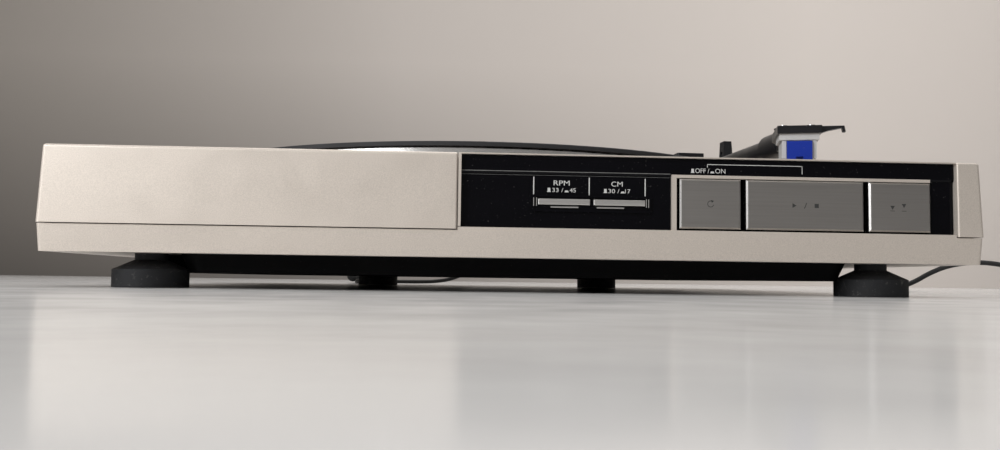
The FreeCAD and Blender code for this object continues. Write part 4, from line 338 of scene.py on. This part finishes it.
def make_finishes():
    spindle_low, spindle_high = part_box("spindle")
    x = (spindle_low.x + spindle_high.x) / 2
    y = (spindle_low.y + spindle_high.y) / 2
    silver = (0.615, 0.552, 0.49)
    return {
        "case_silver": metallic_paint("silver_paint", silver, 0.35, 0.42),
        "pan_black": plastic("pan_black_enamel", (0.0018, 0.0018, 0.002), 0.5, 0.2, 0.02, 0.05),
        "foot_rubber": rubber("foot_rubber_dusty", (0.010, 0.0105, 0.012)),
        "panel_gloss": gloss_panel("black_gloss_panel", (0.0020, 0.0019, 0.0030)),
        "button_aluminium": brushed("brushed_button", (0.34, 0.325, 0.31), "x", 0.42, painted_side_highlight=True),
        "key_silver": brushed("brushed_key", (0.62, 0.61, 0.59), "x", 0.34),
        "black_plastic": plastic("black_moulding", (0.014, 0.014, 0.016), 0.46),
        "platter_aluminium": turned_metal("turned_aluminium", (0.68, 0.67, 0.66), 0.22, x, y),
        "mat_rubber": record_mat("ridged_mat", (0.013, 0.013, 0.015), x, y),
        "steel": brushed("rolled_steel", (0.46, 0.46, 0.46), "y", 0.40),
        "brass": bright_metal("turned_brass", (0.62, 0.44, 0.20), 0.22),
        "chrome": bright_metal("satin_chrome", (0.62, 0.62, 0.63), 0.16),
        "nylon": plastic("white_nylon", (0.66, 0.64, 0.58), 0.42),
        "board": circuit_board("green_board", (0.03, 0.16, 0.06)),
        "belt_rubber": rubber("belt_rubber_smooth", (0.014, 0.014, 0.014), 0.5),
        "shell_graphite": metallic_paint("graphite_shell", (0.011, 0.011, 0.013), 0.3, 0.34),
        "cartridge_white": plastic("pale_cartridge", (0.50, 0.50, 0.50), 0.30),
        "guard_blue": plastic("blue_guard", (0.010, 0.032, 0.30), 0.22, 0.1),
        "cord_black": plastic("cord_sheath", (0.012, 0.012, 0.012), 0.48, 0.5),
    }


def dress_nodes(finishes):
    slots = {part["node"]: part["material_slot"] for part in frame["record"]["subparts"]}
    for name, node in NODES.items():
        for entry in node.material_slots:
            entry.material = finishes[slots[name]]


def half_turn(points, start, end, low, high, side):
    centre = (start + end) / 2
    bend = abs(end - start) / 2
    step = math.pi / POINTS_PER_HALF_TURN
    for index in range(POINTS_PER_HALF_TURN):
        angle = (index + 0.5) * step
        share = (index + 0.5) / POINTS_PER_HALF_TURN
        reach = bend / math.cos(step / 2)
        points.append((centre + side * reach * math.cos(angle), -side * reach * math.sin(angle),
                       low + (high - low) * share))


def wound_points(run, inner, turns, diameter, place, heading, lift, tail):
    """Control points of a coil or hank in two layers, winding inward below and outward above."""
    pitch = diameter + LOOP_GAP
    inward = [inner + (2 * turns - 1 - index) * pitch / 2 for index in range(2 * turns)]
    shift = pitch / 2 if run else 0.0
    outward = [width + shift for width in reversed(inward)]
    low = lift + diameter / 2
    high = low + pitch
    sequence = [(width, low) for width in inward] + [(width, high) for width in outward[:-1]]
    points = [(sequence[0][0], run / 2 + diameter, low)]
    for index, (width, level) in enumerate(sequence):
        side = 1 if index % 2 == 0 else -1
        following = sequence[index + 1] if index + 1 < len(sequence) else None
        after = following[1] if following else level
        if run:
            points.append((side * width, side * run / 2, level))
            points.append((side * width, -side * run / 2, after))
            level = after
        if following:
            turn = []
            half_turn(turn, side * width, -side * following[0], level, after, side)
            points.extend((x, y - side * run / 2, z) for x, y, z in turn)
    last = sequence[-1][0]
    points.append((last, -run / 2 - tail / 2, high))
    points.append((last, -run / 2 - tail, high))
    spin = Matrix.Rotation(math.radians(heading), 3, "Z")
    shifted = Vector((place[0], place[1], 0))
    return [spin @ Vector(point) + shifted for point in points]


def cord_curve(name, points, diameter):
    curve = bpy.data.curves.new(name, "CURVE")
    curve.dimensions = "3D"
    curve.bevel_depth = diameter / 2
    curve.bevel_resolution = 6
    curve.resolution_u = 6
    curve.use_fill_caps = True
    spline = curve.splines.new("NURBS")
    spline.points.add(len(points) - 1)
    for target, point in zip(spline.points, points):
        target.co = (*point, 1.0)
    spline.order_u = 3
    spline.use_endpoint_u = True
    cord = bpy.data.objects.new(name, curve)
    bpy.context.scene.collection.objects.link(cord)
    return cord


def make_cords(finishes):
    coil = wound_points(0.0, COIL_INNER, COIL_TURNS, MAINS_DIAMETER, COIL_PLACE, 0.0, 0.0, COIL_TAIL)
    lead = coil[0] + Vector((0, MAINS_LEAD, 0))
    mains = cord_curve("mains_lead", [MAINS_EXIT, *MAINS_ROUTE, lead, *coil], MAINS_DIAMETER)
    hank = wound_points(HANK_RUN, HANK_INNER, HANK_TURNS, PHONO_DIAMETER, HANK_PLACE, HANK_HEADING, HANK_LIFT,
                        HANK_TAIL)
    lead = hank[0] - (hank[1] - hank[0]).normalized() * PHONO_LEAD
    phono = cord_curve("signal_lead", [PHONO_EXIT, *PHONO_ROUTE, lead, *hank], PHONO_DIAMETER)
    pairs = ((mains, "mains_cord", "mains_coil"), (phono, "phono_cord", "phono_hank"))
    for cord, first, second in pairs:
        cord.data.materials.append(finishes["cord_black"])
        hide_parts(first, second)
        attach(cord, "plinth")


def flat_piece(name, outlines, y, material, body, thickness=0.00004):
    """Thin raised ink, inlay or painted highlight: outlines of (x, z) points on a face that looks toward -Y.
    """
    mesh = bpy.data.meshes.new(name)
    vertices, faces = [], []
    for outline in outlines:
        count, start = len(outline), len(vertices)
        vertices.extend((x, y - thickness, z) for x, z in outline)
        vertices.extend((x, y + thickness, z) for x, z in outline)
        faces.append([start + index for index in range(count)])
        faces.append([start + count + index for index in reversed(range(count))])
        for index in range(count):
            after = (index + 1) % count
            faces.append([start + index, start + count + index, start + count + after, start + after])
    mesh.from_pydata(vertices, [], faces)
    mesh.materials.append(material)
    piece = bpy.data.objects.new(name, mesh)
    bpy.context.scene.collection.objects.link(piece)
    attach(piece, body)
    return piece


def rectangle(x0, z0, x1, z1):
    return [(x0, z0), (x1, z0), (x1, z1), (x0, z1)]


def words(name, text, middle, low, width, height, y, material, body):
    """Lettering scaled to a width and height, standing on a face that looks toward -Y."""
    curve = bpy.data.curves.new(name, "FONT")
    curve.body = text
    curve.extrude = 0.00003
    letters = bpy.data.objects.new(name, curve)
    bpy.context.scene.collection.objects.link(letters)
    bpy.context.view_layer.update()
    mesh = bpy.data.meshes.new_from_object(letters)
    bpy.data.objects.remove(letters)
    xs = [vertex.co.x for vertex in mesh.vertices]
    ys = [vertex.co.y for vertex in mesh.vertices]
    across = width / (max(xs) - min(xs))
    up = height / (max(ys) - min(ys))
    for vertex in mesh.vertices:
        x, z, depth = vertex.co
        vertex.co = (middle + (x - (min(xs) + max(xs)) / 2) * across, y - depth, low + (z - min(ys)) * up)
    mesh.materials.clear()
    mesh.materials.append(material)
    piece = bpy.data.objects.new(name, mesh)
    bpy.context.scene.collection.objects.link(piece)
    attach(piece, body)
    return piece


def raised_icon(x, z, size):
    return [(x, z), (x + size, z), (x + size * 0.82, z + size * 0.3), (x + size * 0.82, z + size),
            (x + size * 0.18, z + size), (x + size * 0.18, z + size * 0.3)]


def pressed_icon(x, z, size):
    return [(x, z), (x + size, z), (x + size * 0.78, z + size * 0.42), (x + size * 0.22, z + size * 0.42)]


def make_panel_lettering(ink):
    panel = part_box("fascia_panel")[0].y + BEZEL_PROUD
    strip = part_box("fascia_upper")[0].y
    bars = [rectangle(x - 0.0002, 0.0375, x + 0.0002, 0.0446) for x in (0.0041, 0.0256, 0.0474)]
    flat_piece("key_dividers", bars, panel, ink, "plinth")
    for name, text, middle, width in (("speed_heading", "RPM", 0.0149, 0.0062),
                                      ("size_heading", "CM", 0.0364, 0.0044)):
        words(name, text, middle, HEADING_LOW, width, HEADING_HEIGHT, panel, ink, "plinth")
    values = (("speed_values", "33 /", 0.0134, 0.0043), ("speed_values_in", "45", 0.0192, 0.0024),
              ("size_values", "30 /", 0.0352, 0.0043), ("size_values_in", "17", 0.0406, 0.0020))
    for name, text, middle, width in values:
        words(name, text, middle, VALUES_LOW, width, VALUES_HEIGHT, panel, ink, "plinth")
    icons = [raised_icon(0.0092, VALUES_LOW, RAISED_ICON), pressed_icon(0.0160, VALUES_LOW, PRESSED_ICON)]
    icons += [raised_icon(0.0311, VALUES_LOW, RAISED_ICON), pressed_icon(0.0378, VALUES_LOW, PRESSED_ICON)]
    flat_piece("key_icons", icons, panel, ink, "plinth")
    words("off_word", "OFF /", 0.0696, STRIP_WORDS_LOW, 0.0055, STRIP_WORDS_HEIGHT, strip, ink, "plinth")
    words("on_word", "ON", 0.0767, STRIP_WORDS_LOW, 0.0040, STRIP_WORDS_HEIGHT, strip, ink, "plinth")
    icons = [raised_icon(0.0650, STRIP_WORDS_LOW, RAISED_ICON),
             pressed_icon(0.0727, STRIP_WORDS_LOW, PRESSED_ICON)]
    flat_piece("repeat_icons", icons, strip, ink, "plinth")
    line, left, right, top = 0.00012, 0.0716, 0.1091, 0.0506
    bracket = [rectangle(left - line, 0.0494, left + line, top)]
    bracket.append(rectangle(left, top - line, right, top + line))
    bracket.append(rectangle(right - line, 0.0475, right + line, top))
    flat_piece("repeat_bracket", bracket, strip, ink, "plinth")


def make_edge_highlight_lines(edge_highlight_paint):
    """Fine pale lines at the foot of the upper strip and the head of the panel, left of the buttons: painted
    highlights along those edges.
    """
    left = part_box("fascia_panel")[0].x
    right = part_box("button_frame")[0].x - 0.0004
    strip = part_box("fascia_upper")[0].y
    flat_piece("strip_edge_highlight", [rectangle(left, 0.04642, right, 0.04668)], strip, edge_highlight_paint, "plinth")
    flat_piece("panel_edge_highlight", [rectangle(left, 0.04515, right, 0.04525)], strip + 0.0008, edge_highlight_paint, "plinth")


def ring_outline(x, z, outer, inner, start, sweep, steps):
    angles = [math.radians(start + sweep * index / steps) for index in range(steps + 1)]
    rim = [(x + outer * math.cos(angle), z + outer * math.sin(angle)) for angle in angles]
    return rim + [(x + inner * math.cos(angle), z + inner * math.sin(angle)) for angle in reversed(angles)]


def make_button_marks(dark):
    low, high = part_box("repeat_button")
    y, x, z = low.y, (low.x + high.x) / 2, (low.z + high.z) / 2
    marks = [ring_outline(x, z, 0.00130, 0.00105, 60, 285, 24)]
    tip = (x + 0.0012 * math.cos(math.radians(60)), z + 0.0012 * math.sin(math.radians(60)))
    arrow_head = ((-0.0005, 0.0005), (0.0007, 0.0002), (-0.0001, -0.0006))
    marks.append([(tip[0] + across, tip[1] + up) for across, up in arrow_head])
    flat_piece("repeat_mark", marks, y, dark, "repeat_body", 0.00002)
    low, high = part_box("start_button")
    x = (low.x + high.x) / 2
    arrow = [(x - 0.0052, z - 0.0009), (x - 0.0036, z), (x - 0.0052, z + 0.0009)]
    slash = [(x - 0.0006, z - 0.0011), (x - 0.0003, z - 0.0011), (x + 0.0006, z + 0.0011),
             (x + 0.0003, z + 0.0011)]
    marks = [arrow, slash, rectangle(x + 0.0036, z - 0.0008, x + 0.0052, z + 0.0008)]
    flat_piece("start_mark", marks, y, dark, "start_body", 0.00002)
    low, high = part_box("cue_button")
    x = (low.x + high.x) / 2 - 0.0008
    marks = []
    for offset, rise in ((-0.0023, 0.0), (0.0023, 0.0008)):
        base, middle, half = z - 0.0010, x + offset, 0.0009
        head = base + rise + 0.0016
        marks.append([(middle, base + rise), (middle + half, head), (middle - half, head)])
        marks.append(rectangle(middle - half, base - 0.0005, middle + half, base - 0.0003))
    flat_piece("cue_mark", marks, y, dark, "cue_body", 0.00002)


def make_painted_key_glints(metal):
    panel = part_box("fascia_panel")[0].y
    # Painted highlights: thin bright metal strips under the keys and at the ends of their bezels stand in for
    # glints on the key edges
    bars = [rectangle(0.0106, 0.0327, 0.0213, 0.0332), rectangle(0.0284, 0.0327, 0.0390, 0.0332)]
    bars += [rectangle(x, 0.0333, x + 0.0003, 0.0365) for x in (0.0039, 0.0050, 0.0475, 0.0484)]
    flat_piece("painted_key_glints", bars, panel, metal, "plinth", 0.0002)


def shell_to_world(point):
    """A point in the headshell's own frame, from the bend of the arm, in the row frame."""
    bend = Matrix.Rotation(math.radians(ARM_REST_ANGLE), 4, "Z") @ Matrix.Translation((0, -ARM_BEND, 0))
    turned = Matrix.Translation(ARM_PIVOT) @ bend @ Matrix.Rotation(math.radians(-SHELL_OFFSET), 4, "Z")
    return turned @ Vector(point)


def thin_tube(name, points, radius, material, body):
    curve = bpy.data.curves.new(name, "CURVE")
    curve.dimensions = "3D"
    curve.bevel_depth = radius
    curve.bevel_resolution = 3
    curve.resolution_u = 8
    curve.use_fill_caps = True
    spline = curve.splines.new("NURBS")
    spline.points.add(len(points) - 1)
    for target, point in zip(spline.points, points):
        target.co = (*point, 1.0)
    spline.order_u = 3
    spline.use_endpoint_u = True
    curve.materials.append(material)
    tube = bpy.data.objects.new(name, curve)
    bpy.context.scene.collection.objects.link(tube)
    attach(tube, body)
    return tube


def make_shell_leads(finishes):
    """Four thin leads from the cartridge's pins up into the headshell's neck, each with a metal clip."""
    tones = {"red": (0.45, 0.02, 0.02), "white": (0.62, 0.62, 0.60), "green": (0.02, 0.22, 0.06),
             "blue": (0.02, 0.06, 0.35)}
    pins = [(-0.004, -0.0065), (0.004, -0.0065), (-0.004, -0.0100), (0.004, -0.0100)]
    for (tone, colour), (x, z) in zip(tones.items(), pins):
        sheath = plastic("lead_" + tone, colour, 0.4, 0.2, 0.05)
        clip = [(x, -0.0186, z), (x, -0.0172, z), (x, -0.0152, z)]
        thin_tube("clip_" + tone, [shell_to_world(point) for point in clip], 0.0008, finishes["chrome"],
                  "tonearm_body")
        bow = x * (1.25 if z < -0.008 else 0.8)
        route = [(x, -0.0156, z), (x, -0.0135, z - 0.0004), (bow, -0.0100, z + 0.0006),
                 (bow, -0.0068, z + 0.0026)]
        route += [(x * 0.8, -0.0042, -0.0052), (x * 0.6, -0.0030, -0.0036), (x * 0.6, -0.0028, -0.0022)]
        thin_tube("lead_" + tone, [shell_to_world(point) for point in route], 0.00038, sheath, "tonearm_body")


def make_trim(finishes):
    ink = Finish("pale_ink").set(roughness=0.5)
    ink.colour(ink.colours(ink.noise(2200.0), (0.50, 0.50, 0.49), (0.66, 0.66, 0.64)))
    dark = Finish("dark_ink").set(roughness=0.6)
    dark.colour(dark.colours(dark.noise(2200.0), (0.02, 0.02, 0.02), (0.05, 0.05, 0.05)))
    make_panel_lettering(ink.material)
    make_button_marks(dark.material)
    # Pale grey lines painted on as highlights along the strip's lower edge and the panel's top edge
    edge_highlight_paint = Finish("painted_edge_highlight").set(roughness=0.5)
    edge_highlight_paint.colour(edge_highlight_paint.colours(edge_highlight_paint.noise(900.0), (0.10, 0.10, 0.10), (0.20, 0.20, 0.19)))
    make_edge_highlight_lines(edge_highlight_paint.material)
    make_painted_key_glints(finishes["key_silver"])
    make_shell_leads(finishes)


def plane(name, corners, material):
    mesh = bpy.data.meshes.new(name)
    mesh.from_pydata(corners, [], [tuple(range(len(corners)))])
    mesh.materials.append(material)
    piece = bpy.data.objects.new(name, mesh)
    bpy.context.scene.collection.objects.link(piece)
    return piece


def make_stage():
    table = Finish("pale_table").set(IOR=1.38)
    table.colour(table.colours(table.noise(3.0), (0.66, 0.655, 0.65), (0.70, 0.695, 0.69)))
    table.rough(table.spread(table.noise(40.0, 4.0), 0.3, 0.7, 0.14, 0.20))
    wall = Finish("warm_wall")
    places = wall.node("ShaderNodeSeparateXYZ", Vector=wall.place)
    side, height = places.outputs["X"], places.outputs["Z"]
    # Painted light on the wall: darker at the left, brightest in the middle and dimmer again to the right, as
    # the light falls across it
    tone = wall.colours(wall.spread(side, -1.05, -0.15, 0.0, 1.0), (0.43, 0.394, 0.36), (0.63, 0.582, 0.545))
    tone = wall.colours(wall.spread(side, 0.8, 1.3, 0.0, 1.0), tone, (0.53, 0.49, 0.46))
    # Painted shadow: the lower part of the wall, most on the left, is darkened towards near black
    low = wall.spread(height, 0.0, 0.5, 0.66, 0.0)
    shadow = wall.math("MULTIPLY", wall.spread(side, -0.4, 0.9, 1.0, 0.0), low)
    tone = wall.colours(shadow, tone, (0.02, 0.017, 0.014))
    wall.colour(wall.colours(wall.spread(wall.noise(1.5), 0.3, 0.7, 0.0, 0.06), tone, (0.60, 0.55, 0.50)))
    wall.set(roughness=0.9)
    half, depth = 6.0, 1.5
    floor = plane("table_top", [(-half, -6, 0), (half, -6, 0), (half, depth, 0), (-half, depth, 0)],
                  table.material)
    back = plane("backdrop", [(-half, depth, -0.5), (half, depth, -0.5), (half, depth, 4), (-half, depth, 4)],
                 wall.material)


def area_light(name, place, target, size, power, colour=(1, 1, 1), spread=180.0):
    lamp = bpy.data.lights.new(name, "AREA")
    lamp.shape = "RECTANGLE"
    lamp.size, lamp.size_y = size
    lamp.energy = power
    lamp.spread = math.radians(spread)
    lamp.color = colour
    light = bpy.data.objects.new(name, lamp)
    light.location = place
    light.rotation_euler = (Vector(target) - Vector(place)).to_track_quat("-Z", "Y").to_euler()
    bpy.context.scene.collection.objects.link(light)


def make_lights():
    world = bpy.data.worlds.new("room")
    world.use_nodes = True
    nodes, links = world.node_tree.nodes, world.node_tree.links
    background = nodes["Background"]
    directions = nodes.new("ShaderNodeTexCoord")
    parts = nodes.new("ShaderNodeSeparateXYZ")
    links.new(directions.outputs["Generated"], parts.inputs["Vector"])
    ramp = nodes.new("ShaderNodeMapRange")
    links.new(parts.outputs["X"], ramp.inputs["Value"])
    for name, value in (("From Min", -0.6), ("From Max", 0.9), ("To Min", 0.46), ("To Max", 0.19)):
        ramp.inputs[name].default_value = value
    links.new(ramp.outputs["Result"], background.inputs["Strength"])
    background.inputs["Color"].default_value = (0.93, 0.905, 0.88, 1)
    bpy.context.scene.world = world
    area_light("window", (-0.72, -0.78, 0.46), (-0.02, -0.1, 0.05), (0.5, 0.5), 2.5, (0.98, 0.99, 1.0), 95.0)
    area_light("ceiling", (0.2, 0.3, 1.9), (0, 0, 0), (2.0, 2.0), 27.0, (1.0, 0.99, 0.98))
    area_light("wall_wash", (1.5, 0.45, 0.9), (0.9, 1.5, 0.35), (0.8, 0.8), 7.0, (1.0, 0.98, 0.96))


bpy.context.scene.view_settings.view_transform = "Standard"
place_camera()
finishes = make_finishes()
dress_nodes(finishes)
make_cords(finishes)
make_trim(finishes)
make_stage()
make_lights()
